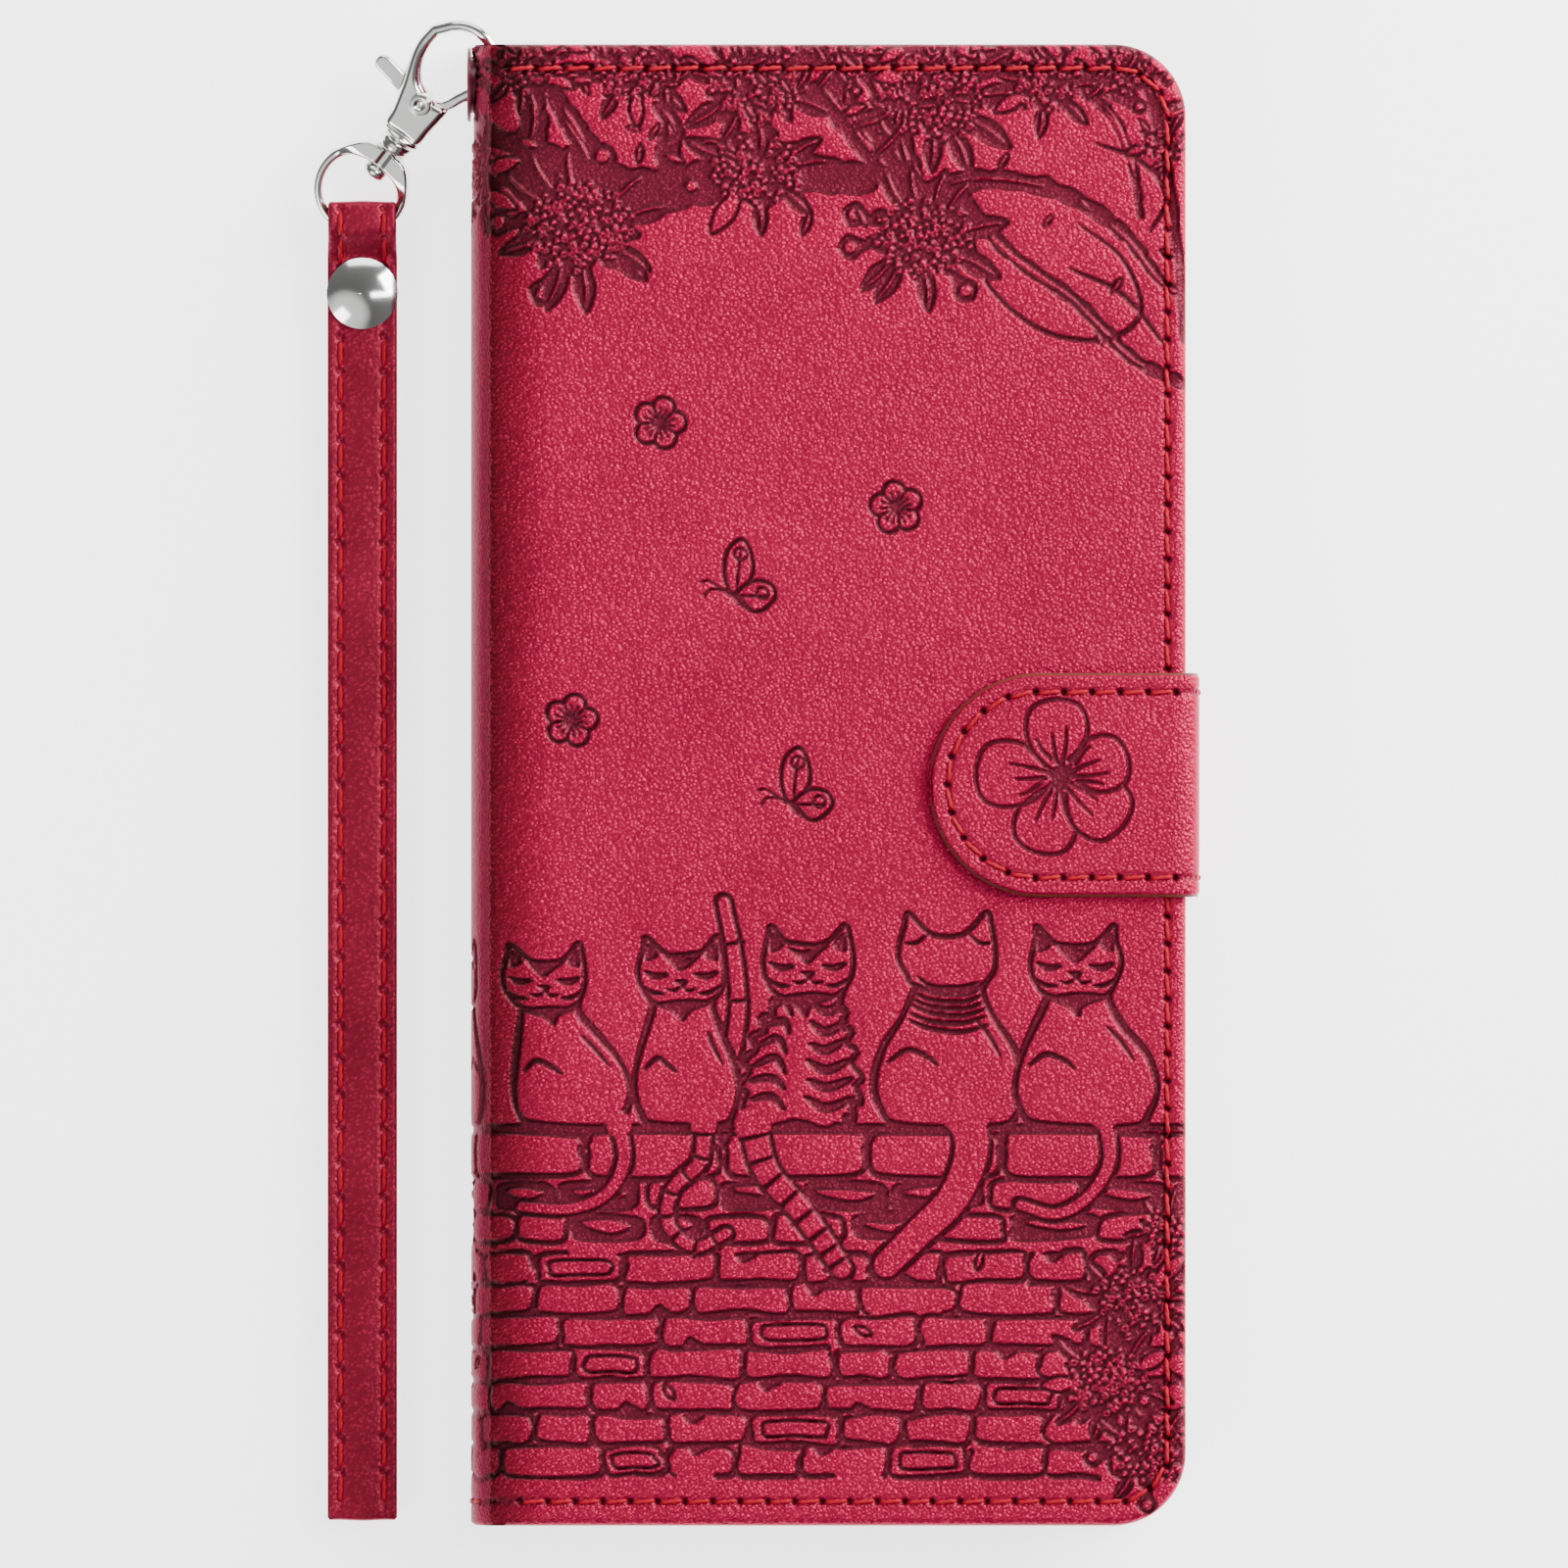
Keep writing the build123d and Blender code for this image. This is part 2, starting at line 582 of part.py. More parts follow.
def make_clasp_tab():
    """Tab that lies on the front cover: lining, leather, magnet and stitches."""
    leather_z = CLASP_UNDER_Z + CLASP_TAB_LINING
    top_z = CLASP_UNDER_Z + CLASP_TAB_THICKNESS
    with BuildPart() as clasp_tab_lining:
        with BuildSketch(Plane.XY.offset(CLASP_UNDER_Z)):
            clasp_outline(0.2)
        extrude(amount=CLASP_TAB_LINING)
    save(clasp_tab_lining.part, "clasp_tab_lining")

    with BuildPart() as clasp_tab_leather:
        with BuildSketch(Plane.XY.offset(leather_z)):
            clasp_outline()
        extrude(amount=top_z - leather_z)
        with BuildSketch(Plane.XY.offset(leather_z)):
            with Locations((MAGNET_X, 0)):
                Circle(MAGNET_RADIUS)
        extrude(amount=CLASP_MAGNET, mode=Mode.SUBTRACT)
        with BuildSketch(Plane.XY.offset(top_z)):
            trace(clasp_seam(), line_width=SEAM_WIDTH)
        extrude(amount=-SEAM_DEPTH, mode=Mode.SUBTRACT)
    save(clasp_tab_leather.part, "clasp_tab_leather")
    make_magnet("clasp_magnet", leather_z, CLASP_MAGNET)

    with BuildPart() as clasp_tab_stitching:
        with BuildSketch(Plane.XY.offset(top_z - SEAM_DEPTH)):
            stitch_row(clasp_seam())
        extrude(amount=SEAM_DEPTH + STITCH_PROUD)
    save(clasp_tab_stitching.part, "clasp_tab_stitching")


# ------------------------------------------------------------------ trigger hook
def wire_arc(start, end):
    """Bent round wire along the hook's loop, between two angles from the ring's direction."""
    spots = []
    for turn in (start, (start + end) / 2, end):
        spot = Vector(cos(radians(turn)), sin(radians(turn)), 0) * LOOP_RADIUS
        spots.append(HOOK_PLANE.from_local_coords(spot))
    with BuildLine() as centre_line:
        ThreePointArc(*spots)
    tip = centre_line.line @ 0
    with BuildSketch(Plane(origin=tip, z_dir=centre_line.line % 0)) as section:
        Circle(LOOP_WIRE_RADIUS)
    sweep(section.sketch, path=centre_line.line)


def hook_sketch_plane(height):
    """Plane parallel to the hook's, at a height above its middle."""
    return HOOK_PLANE.offset(height)


def make_hook_body():
    """Cast hook: open round loop, forked body and collar."""
    cheek = 1.3
    shoulder = [(2.2, -4.0), (5.0, -3.1), (8.2, -2.0), (10.4, -1.7), (10.4, 1.7), (7.6, 2.1)]
    inside = [(5.8, 1.9), (5.0, 0.4), (3.0, -2.3)]
    with BuildPart() as hook_body:
        with BuildSketch(hook_sketch_plane(-cheek)):
            with BuildLine() as outline:
                FilletPolyline(*shoulder, *inside, radius=0.35, close=True)
            make_face(outline.edges())
        extrude(amount=2 * cheek)
        wire_arc(NOSE_ANGLE, 306)
        with BuildSketch(Plane(origin=HOOK_PLANE.from_local_coords(Vector(10.0, 0, 0)), z_dir=HOOK_WAY)):
            Circle(COLLAR_RADIUS)
        extrude(amount=BOSS_START - 10.0 - 0.25)
        with BuildSketch(hook_sketch_plane(-TRIGGER_SLOT / 2)):
            with Locations((RIVET_ALONG, 0)):
                Rectangle(4.6, 9)
        extrude(amount=TRIGGER_SLOT, mode=Mode.SUBTRACT)
        with BuildSketch(hook_sketch_plane(-2)):
            with Locations((RIVET_ALONG, RIVET_ACROSS)):
                Circle(0.6)
        extrude(amount=4, mode=Mode.SUBTRACT)
    save(hook_body.part, "hook_body")


def make_trigger():
    """Thumb lever with its gate, the rivet that it turns on and its spring."""
    half = TRIGGER_PLATE / 2
    thumb = [(5.2, -7.4), (6.2, -7.3), (6.9, -3.6), (7.2, -1.2), (5.6, -1.6), (5.2, -4.0), (4.6, -6.9)]
    gate = [(6.9, 1.0), (5.2, 2.2), (3.8, 2.9), (3.2, 1.9), (4.7, 0.9), (5.3, -0.4)]
    with BuildPart() as trigger_lever:
        with BuildSketch(hook_sketch_plane(-half)):
            with Locations((RIVET_ALONG, RIVET_ACROSS)):
                Circle(1.75)
            for arm in (thumb, gate):
                with BuildLine() as outline:
                    FilletPolyline(*arm, radius=0.3, close=True)
                make_face(outline.edges())
        extrude(amount=TRIGGER_PLATE)
        with BuildSketch(hook_sketch_plane(-1.3)):
            with Locations((5.45, -6.9)):
                Circle(0.85)
        extrude(amount=2.6)
        wire_arc(30, GATE_ANGLE)
        with BuildSketch(hook_sketch_plane(-2)):
            with Locations((RIVET_ALONG, RIVET_ACROSS)):
                Circle(0.6)
        extrude(amount=4, mode=Mode.SUBTRACT)
        with BuildSketch(hook_sketch_plane(0.1)):
            with Locations((RIVET_ALONG, RIVET_ACROSS)):
                Circle(1.45)
        extrude(amount=half, mode=Mode.SUBTRACT)
    save(trigger_lever.part, "trigger_lever")

    with BuildPart() as trigger_spring:
        with BuildSketch(hook_sketch_plane(0.15)):
            with Locations((RIVET_ALONG, RIVET_ACROSS)):
                Circle(1.3)
                Circle(0.75, mode=Mode.SUBTRACT)
        extrude(amount=0.4)
    save(trigger_spring.part, "trigger_spring")

    with BuildPart() as trigger_rivet:
        with BuildSketch(hook_sketch_plane(-1.7)):
            with Locations((RIVET_ALONG, RIVET_ACROSS)):
                Circle(0.55)
        extrude(amount=3.4)
        for base, height in ((1.3, 0.4), (-1.3, -0.4)):
            with BuildSketch(hook_sketch_plane(base)):
                with Locations((RIVET_ALONG, RIVET_ACROSS)):
                    Circle(1.15)
            extrude(amount=height, taper=25)
    save(trigger_rivet.part, "trigger_rivet")


def hook_axis_plane(along):
    """Plane across the hook's long axis at a distance from the loop's centre."""
    return Plane(origin=HOOK_PLANE.from_local_coords(Vector(along, 0, 0)), x_dir=HOOK_NORMAL, z_dir=HOOK_WAY)


def make_swivel():
    """Round ring with its boss, and the headed pin that it turns on."""
    boss_end = BOSS_START + BOSS_LENGTH
    with BuildPart() as swivel_eye:
        ring_centre = HOOK_PLANE.from_local_coords(Vector(RING_ALONG, 0, 0))
        with Locations(Plane(origin=ring_centre, z_dir=HOOK_NORMAL)):
            Torus(RING_RADIUS, RING_WIRE_RADIUS)
        with BuildSketch(hook_axis_plane(BOSS_START)):
            RectangleRounded(2.4, 5.4, 0.6)
        extrude(amount=BOSS_LENGTH)
        with BuildSketch(hook_axis_plane(BOSS_START - 1)):
            Circle(PIN_RADIUS + 0.1)
        extrude(amount=BOSS_LENGTH + 1.6, mode=Mode.SUBTRACT)
    save(swivel_eye.part, "swivel_eye")

    with BuildPart() as swivel_pin:
        with BuildSketch(hook_axis_plane(BOSS_START - 0.25)):
            Circle(PIN_RADIUS)
        extrude(amount=BOSS_LENGTH + 0.4)
        with BuildSketch(hook_axis_plane(boss_end + 0.1)):
            Circle(1.35)
        extrude(amount=0.9, taper=20)
    save(swivel_pin.part, "swivel_pin")


# ------------------------------------------------------------------ wrist strap
def make_strap_layer(name, outer_inset, inner_inset):
    """One layer of the strap, a flat band closed on itself with a round loop for the ring."""
    with BuildPart() as layer:
        with BuildSketch(STRAP_PLANE):
            strap_outline(outer_inset)
        extrude(amount=STRAP_WIDTH / 2, both=True)
        with BuildSketch(STRAP_PLANE):
            strap_outline(inner_inset)
        extrude(amount=STRAP_WIDTH / 2, both=True, mode=Mode.SUBTRACT)
        narrow_strap_tip()
        rivet_hole()
    save(layer.part, name)


def make_strap_rivet():
    """Domed cap, post and flat base of the strap's rivet."""
    dome = 1.3
    rim = 0.4
    sphere = (STRAP_RIVET_RADIUS**2 + (dome - rim) ** 2) / (2 * (dome - rim))
    halfway = STRAP_RIVET_RADIUS / 2
    halfway_height = dome - sphere + sqrt(sphere**2 - halfway**2)
    with BuildPart() as strap_rivet_cap:
        middle = (STRAP_X, STRAP_RIVET_Y, STRAP_TOP_Z)
        with BuildSketch(Plane(origin=middle, x_dir=(1, 0, 0), z_dir=(0, -1, 0))):
            with BuildLine():
                Polyline((0, dome), (0, 0), (STRAP_RIVET_RADIUS, 0), (STRAP_RIVET_RADIUS, rim))
                ThreePointArc((STRAP_RIVET_RADIUS, rim), (halfway, halfway_height), (0, dome))
            make_face()
        revolve(axis=Axis((STRAP_X, STRAP_RIVET_Y, 0), (0, 0, 1)))
    save(strap_rivet_cap.part, "strap_rivet_cap")

    with BuildPart() as strap_rivet_post:
        with BuildSketch(Plane.XY.offset(STRAP_UNDER_Z)):
            with Locations((STRAP_X, STRAP_RIVET_Y)):
                Circle(STRAP_POST_RADIUS - 0.05)
        extrude(amount=STRAP_TOP_Z - STRAP_UNDER_Z)
    save(strap_rivet_post.part, "strap_rivet_post")

    with BuildPart() as strap_rivet_base:
        with BuildSketch(Plane.XY.offset(STRAP_UNDER_Z)):
            with Locations((STRAP_X, STRAP_RIVET_Y)):
                Circle(3.4)
        extrude(amount=0.1 - STRAP_UNDER_Z)
        fillet(strap_rivet_base.edges().group_by(Axis.Z)[0], radius=0.4)
    save(strap_rivet_base.part, "strap_rivet_base")


def make_strap_stitching():
    """Two rows of stitches along the strap's upper face, clear of the rivet's cap."""
    with BuildPart() as strap_stitching:
        with BuildSketch(Plane.XY.offset(STRAP_TOP_Z)):
            for row in strap_seams():
                stitch_row(row, STRAP_STITCH_PITCH)
            with Locations((STRAP_X, STRAP_RIVET_Y)):
                Circle(STRAP_RIVET_RADIUS + STITCH_WIDTH, mode=Mode.SUBTRACT)
        extrude(amount=0.2)
    save(strap_stitching.part, "strap_stitching")


make_outer_leather("back_outer_leather", "down")
make_back_board()
make_back_lining()
make_stitching("back_stitching", 0, -1)
make_shell_adhesive()
make_phone_shell()
make_clasp_base()

make_spine_layer("spine_outer_leather", SPINE_RADIUS, SPINE_LINING_RADIUS, True)
make_spine_layer("spine_lining", SPINE_LINING_RADIUS, SPINE_INNER_RADIUS, False)
make_spine_stitching()
make_eyelet()

make_outer_leather("front_outer_leather", "up")
make_front_board()
make_magnet("front_magnet", FRONT_BOARD_Z, BOARD)
make_front_lining()
make_pockets()
make_stitching("front_stitching", THICKNESS, 1)

make_clasp_side()
make_clasp_tab()

make_hook_body()
make_trigger()
make_swivel()

make_strap_layer("strap_outer_leather", 0, STRAP_SKIN)
make_strap_layer("strap_lining", STRAP_SKIN, STRAP_SKIN + STRAP_BACKING)
make_strap_rivet()
make_strap_stitching()
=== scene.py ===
"""Phone wallet case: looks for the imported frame. Lengths are millimetres until a mesh is made."""

import bpy
import numpy as np
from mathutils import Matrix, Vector


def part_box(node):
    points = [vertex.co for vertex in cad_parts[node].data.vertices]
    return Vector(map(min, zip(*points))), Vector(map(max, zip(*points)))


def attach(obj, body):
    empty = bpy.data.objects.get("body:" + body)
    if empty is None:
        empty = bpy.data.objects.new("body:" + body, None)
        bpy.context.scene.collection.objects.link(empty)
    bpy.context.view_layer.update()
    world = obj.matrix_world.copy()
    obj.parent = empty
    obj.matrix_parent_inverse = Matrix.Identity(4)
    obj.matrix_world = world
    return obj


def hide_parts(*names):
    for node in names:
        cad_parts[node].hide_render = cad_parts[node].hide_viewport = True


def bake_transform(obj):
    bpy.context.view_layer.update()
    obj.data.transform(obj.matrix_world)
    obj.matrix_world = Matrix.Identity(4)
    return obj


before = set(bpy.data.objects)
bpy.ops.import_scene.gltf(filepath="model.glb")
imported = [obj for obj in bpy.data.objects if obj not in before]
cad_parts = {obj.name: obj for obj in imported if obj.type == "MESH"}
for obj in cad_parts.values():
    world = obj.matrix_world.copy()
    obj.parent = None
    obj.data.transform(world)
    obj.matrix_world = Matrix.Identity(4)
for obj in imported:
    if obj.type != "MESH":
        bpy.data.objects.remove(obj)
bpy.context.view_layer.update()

MM = 0.001
rng = np.random.default_rng(11)


def box_mm(node):
    """Lowest and highest corner of a CAD node, in millimetres."""
    low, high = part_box(node)
    return np.array(low) / MM, np.array(high) / MM


# ------------------------------------------------------------------ sizes, from the frame
FRONT_LOW, FRONT_HIGH = box_mm("front_outer_leather")
CREST_X = box_mm("spine_outer_leather")[0][0]
TAB_LOW, TAB_HIGH = box_mm("clasp_tab_leather")
SIDE_X = box_mm("clasp_side_leather")[1][0]
STRAP_LOW, STRAP_HIGH = box_mm("strap_outer_leather")

TOP_Z = FRONT_HIGH[2]
EDGE_X = FRONT_HIGH[0]
CREASE_X = FRONT_LOW[0]
HALF_LENGTH = FRONT_HIGH[1]
SKIN_DEPTH = FRONT_HIGH[2] - FRONT_LOW[2]
LEATHER = 0.9                 # thickness of the outer leather
CORNER = 8.2
EDGE_ROUND = 1.0
CREASE_STRIP = 1.6            # half width of the bending strip at each crease
SEAM_END = 2.7
SEAM_EDGE = 2.1
STITCH_PITCH = 3.07
ART_STEP = 0.16               # spacing of the drawing's points; GRID and REST_STEP are the meshes'
GRID = 0.16
REST_STEP = 0.26

LEDGE_Y = -38.4               # top of the wall that the cats sit on
SLAB_HEIGHT = 5.4
BRICK_PITCH = 3.62
WALL_TOP, WALL_BOTTOM = -52.4, -77.9
LINE_SOFT = 0.16              # soft edge of every stamped line
FLAT_HEADS = 0.82             # blossom heads are this much lower than wide
GOLDEN_TURN = 2.39996


# ------------------------------------------------------------------ drawing on a canvas
def smooth(points, closed=False, per=7):
    """Smooth curve through given points (Catmull-Rom)."""
    p = np.array(points, float)
    if closed:
        p = np.vstack([p[-1], p, p[0], p[1]])
    else:
        p = np.vstack([2 * p[0] - p[1], p, 2 * p[-1] - p[-2]])
    t = np.linspace(0, 1, per, endpoint=False)[:, None]
    runs = []
    for a, b, c, d in zip(p[:-3], p[1:-2], p[2:-1], p[3:]):
        curve = 2 * b + (c - a) * t + (2 * a - 5 * b + 4 * c - d) * t**2 + (3 * b - a - 3 * c + d) * t**3
        runs.append(curve / 2)
    if not closed:
        runs.append(p[-2][None])
    return np.vstack(runs)


class Canvas:
    """A flat drawing that says how deep and how dark the leather is stamped at each point."""

    def __init__(self, low, high, step):
        self.low = np.array(low, float)
        self.step = step
        count = np.ceil((np.array(high) - self.low) / step).astype(int) + 1
        self.x = self.low[0] + np.arange(count[0]) * step
        self.y = self.low[1] + np.arange(count[1]) * step
        self.stamp = np.zeros(count, np.float32)
        self.seam = np.zeros(count, np.float32)
        self.holes = np.zeros(count, np.float32)

    def window(self, points, margin):
        """Part of the canvas round some points, with its own x and y."""
        low = np.floor((points.min(0) - margin - self.low) / self.step).astype(int)
        high = np.ceil((points.max(0) + margin - self.low) / self.step).astype(int) + 1
        low = np.clip(low, 0, None)
        high = np.clip(high, 0, self.stamp.shape)
        view = (slice(low[0], high[0]), slice(low[1], high[1]))
        return view, self.x[view[0]][:, None], self.y[view[1]][None, :]

    def reach(self, points, widths, margin=0.3):
        """Window round a path and each point's distance outside a band of that width."""
        widths = np.broadcast_to(np.asarray(widths, float), len(points)) / 2
        view, x, y = self.window(points, widths.max() + margin)
        best = np.full((x.shape[0], y.shape[1]), 99.0, np.float32)
        if best.size:
            for (ax, ay), (bx, by), wa, wb in zip(points[:-1], points[1:], widths[:-1], widths[1:]):
                dx, dy = bx - ax, by - ay
                t = np.clip(((x - ax) * dx + (y - ay) * dy) / max(dx * dx + dy * dy, 1e-9), 0, 1)
                gap = np.hypot(x - ax - t * dx, y - ay - t * dy) - (wa + (wb - wa) * t)
                np.minimum(best, gap, out=best)
        return view, best

    def inside(self, points, margin=0.5):
        """Window round a closed outline and each point's signed distance, negative inside."""
        ring = np.vstack([points, points[:1]])
        view, away = self.reach(ring, 0.0, margin)
        x, y = self.x[view[0]][:, None], self.y[view[1]][None, :]
        odd = np.zeros(away.shape, bool)
        for (ax, ay), (bx, by) in zip(ring[:-1], ring[1:]):
            if ay != by:
                cross = ax + (y - ay) * (bx - ax) / (by - ay)
                odd ^= ((ay > y) != (by > y)) & (x < cross)
        return view, np.where(odd, -away, away)

    def press(self, view, away, amount=1.0):
        """Stamp where the distance is negative, with a soft edge."""
        level = np.clip(0.5 - away / LINE_SOFT, 0, 1) * amount
        self.stamp[view] = np.maximum(self.stamp[view], level)

    def lift(self, view, away):
        """Leave the leather raised where the distance is negative."""
        level = np.clip(0.5 - away / LINE_SOFT, 0, 1)
        self.stamp[view] = np.minimum(self.stamp[view], 1 - level)

    def line(self, points, width=0.5, raise_it=False):
        """Stamped or raised line; the width may change along it."""
        view, away = self.reach(np.asarray(points, float), width)
        (self.lift if raise_it else self.press)(view, away)

    def outline(self, points, width):
        """Line round a closed outline."""
        self.line(np.vstack([points, points[:1]]), width)

    def shape(self, points, filled=True, rim=0.0):
        """Fill or raise a closed outline, with a stamped rim line if asked."""
        view, away = self.inside(points)
        if filled:
            self.press(view, away)
        else:
            self.lift(view, away)
        if rim:
            self.press(view, np.abs(away) - rim / 2)

    def disc(self, centre, radius, raise_it=False, ring=0.0):
        """Stamped or raised spot, or a stamped ring of a given width."""
        centre = np.asarray(centre, float)
        view, x, y = self.window(centre[None], radius + 0.6)
        away = np.hypot(x - centre[0], y - centre[1]) - radius
        if ring:
            self.press(view, np.abs(away) - ring / 2)
        else:
            (self.lift if raise_it else self.press)(view, away)


def wobble(points, amount):
    """Small unevenness of a hand-cut die."""
    return np.asarray(points, float) + rng.normal(0, amount, (len(points), 2))


def cut_outline(points, unevenness, per=7):
    """Closed smooth outline with the die's unevenness."""
    return smooth(wobble(points, unevenness), closed=True, per=per)


def polar(way, flat=1.0):
    """Unit step at an angle, with its second part made flatter."""
    return np.array([np.cos(way), flat * np.sin(way)])


def arc(radius, start, end, middle=(0.0, 0.0), count=60):
    """Points round part of a circle, between two angles in degrees."""
    turn = np.radians(np.linspace(start, end, count))
    return np.stack([middle[0] + radius * np.cos(turn), middle[1] + radius * np.sin(turn)], 1)


def place(points, at, size=1.0, turn=0.0, mirror=False):
    """Scale, mirror, turn and move a drawing's points."""
    p = np.asarray(points, float) * size
    if mirror:
        p = p * (-1, 1)
    c, s = np.cos(turn), np.sin(turn)
    return p @ np.array([[c, s], [-s, c]]) + np.asarray(at, float)


def taper(count, thick, ends=0.35):
    """Line widths that swell in the middle of a stroke."""
    return thick * (ends + (1 - ends) * np.sin(np.linspace(0, np.pi, count)) ** 0.6)


# ------------------------------------------------------------------ the drawings themselves
def draw_leaf(canvas, at, length, turn, open_leaf=False):
    """Pointed leaf with a raised midrib."""
    outline = [(0, 0), (0.25, 0.17), (0.6, 0.2), (1, 0), (0.6, -0.2), (0.25, -0.17)]
    edge = smooth(place(outline, at, length, turn), closed=True, per=5)
    if open_leaf:
        canvas.shape(edge, filled=False, rim=0.34)
    else:
        canvas.shape(edge)
        rib = place([(0.18, 0), (0.5, 0.03), (0.82, 0)], at, length, turn)
        canvas.line(smooth(rib), taper(15, 0.3), raise_it=True)


def draw_bud(canvas, at, size, turn):
    """Drop-shaped bud with a small raised eye."""
    outline = [(0, 0), (0.5, 0.13), (0.85, 0.3), (1.1, 0), (0.85, -0.3), (0.5, -0.13)]
    canvas.shape(smooth(place(outline, at, size, turn), closed=True, per=5))
    canvas.disc(place([(0.82, 0)], at, size, turn)[0], size * 0.13, raise_it=True)


def draw_cluster(canvas, at, radius, leaves, start=0.0):
    """Head of small blossoms: raised beads packed in a stamped disc, with leaves round it."""
    at = np.asarray(at, float)
    bumps = 9
    turn = np.linspace(0, 2 * np.pi, bumps * 6, endpoint=False)
    ragged = radius * (0.86 + 0.12 * np.cos(bumps * turn + start) + rng.normal(0, 0.03, turn.size))
    canvas.shape(at + (ragged * polar(turn, FLAT_HEADS)).T)
    for number in range(leaves):
        way = start + 2 * np.pi * number / leaves + rng.normal(0, 0.12)
        root = at + radius * 0.62 * polar(way, FLAT_HEADS)
        kind = rng.random()
        if kind < 0.22:
            draw_bud(canvas, root, radius * 0.75, way)
        else:
            draw_leaf(canvas, root, radius * rng.uniform(0.7, 0.95), way, open_leaf=kind > 0.85)
    beads = int(2.5 * radius * radius)
    for number in range(beads):
        out = radius * 0.84 * np.sqrt((number + 0.5) / beads)
        spot = at + out * polar(GOLDEN_TURN * number, FLAT_HEADS) + rng.normal(0, 0.08, 2)
        size = rng.uniform(0.22, 0.46)
        if rng.random() < 0.85:
            canvas.disc(spot, size, raise_it=True)
        if size > 0.38:
            canvas.disc(spot + (0.05, -0.05), 0.16)


def draw_branch(canvas, points, start_width, end_width, streaks=3):
    """Stamped limb with ragged bark and raised streaks along it."""
    path = smooth(points, per=9)
    widths = np.linspace(start_width, end_width, len(path))
    widths = widths * (1 + 0.13 * np.sin(np.arange(len(path)) * 1.7) + rng.normal(0, 0.05, len(path)))
    canvas.line(wobble(path, 0.05), widths)
    for number in range(streaks):
        first = int(rng.uniform(0.05, 0.75) * len(path))
        piece = path[first:first + int(len(path) * 0.2) + 3]
        shift = rng.uniform(-0.26, 0.26) * widths[first]
        if len(piece) > 3 and widths[first] > 1.3:
            canvas.line(piece + (0.1 * shift, shift), taper(len(piece), 0.34), raise_it=True)


def draw_small_flower(canvas, at, size, turn=0.0):
    """Five round petals with a few stamens."""
    at = np.asarray(at, float)
    view, x, y = canvas.window(at[None], size * 1.3)
    petals = np.full((x.shape[0], y.shape[1]), 9.0)
    for number in range(5):
        middle = at + size * 0.56 * polar(turn + np.pi / 2 + 2 * np.pi * number / 5)
        petals = np.minimum(petals, np.hypot(x - middle[0], y - middle[1]) - size * 0.4)
    canvas.press(view, np.abs(petals) - 0.2)
    for number in range(5):
        tip = at + size * 0.55 * polar(turn + np.pi / 2 + 2 * np.pi * (number + 0.5) / 5)
        canvas.line([at, tip], [0.2, 0.34])
        for lean in (-0.25, 0.2):
            tip = at + size * 0.55 * polar(turn + np.pi / 2 + 2 * np.pi * number / 5 + lean)
            canvas.line([at, tip], [0.34, 0.16])
            canvas.disc(tip, 0.17)
    canvas.disc(at, size * 0.17)


def draw_big_flower(canvas, at, size):
    """The clasp's flower: five wide lapped petals, curved stamens and a ragged centre."""
    at = np.asarray(at, float)
    petal = [(0.06, 0), (0.3, 0.3), (0.62, 0.41), (0.92, 0.32), (1.02, 0), (0.92, -0.31), (0.62, -0.4)]
    petal += [(0.3, -0.28)]
    ways = (4.42, 3.08, 5.62, 0.28, 1.62)
    for way, long in zip(ways, (1.0, 1.06, 1.02, 0.9, 0.98)):
        edge = smooth(place(petal, at, size * long, way), closed=True)
        canvas.shape(edge, filled=False, rim=0.46)
    stamens = ((-0.42, 0.2, 0.46), (-0.16, 0.16, 0.64), (0.08, 0.18, 0.56), (0.34, 0.24, 0.5))
    for way in ways:
        for lean, first, last in stamens:
            stalk = [(first, lean * 0.3), ((first + last) / 2, lean * 0.62), (last, lean * 0.8)]
            canvas.line(smooth(place(stalk, at, size, way)), np.linspace(0.5, 0.26, 15))
    star = []
    for number in range(10):
        out = (0.24, 0.13)[number % 2] * (1 + 0.16 * np.sin(number * 2.0))
        star.append(out * polar(0.3 + np.pi * number / 5))
    canvas.shape(smooth(place(star, at, size), closed=True, per=4))


def draw_butterfly(canvas, at, size, turn, mirror=False):
    """Butterfly seen from the side, two wings up."""
    upper = [(0, 0), (-0.12, 0.45), (0.05, 0.95), (0.4, 1.12), (0.52, 0.75), (0.42, 0.3)]
    lower = [(0, 0), (0.42, 0.22), (0.78, 0.1), (0.82, -0.2), (0.45, -0.42), (0.15, -0.25)]

    def on(points):
        return place(points, at, size, turn, mirror)

    for wing in (upper, lower):
        canvas.shape(smooth(on(wing), closed=True), filled=False, rim=0.4)
        middle = np.mean(on(wing), 0)
        vein = smooth(np.array([on([(0.05, 0.0)])[0], middle, middle * 1.6 - np.asarray(at) * 0.6]))
        canvas.line(vein, taper(len(vein), 0.3))
    spot = on([(0.3, 0.82), (0.58, -0.06)])
    canvas.disc(spot[0], size * 0.13, ring=0.26)
    canvas.disc(spot[1], size * 0.12, ring=0.26)
    canvas.line(smooth(on([(0.3, -0.38), (0.02, -0.02), (-0.2, 0.16)])), taper(15, 0.62))
    for lift in (0.42, 0.12):
        feeler = on([(-0.2, 0.16), (-0.45, 0.16 + lift * 0.6), (-0.62, lift)])
        canvas.line(smooth(feeler), 0.24)


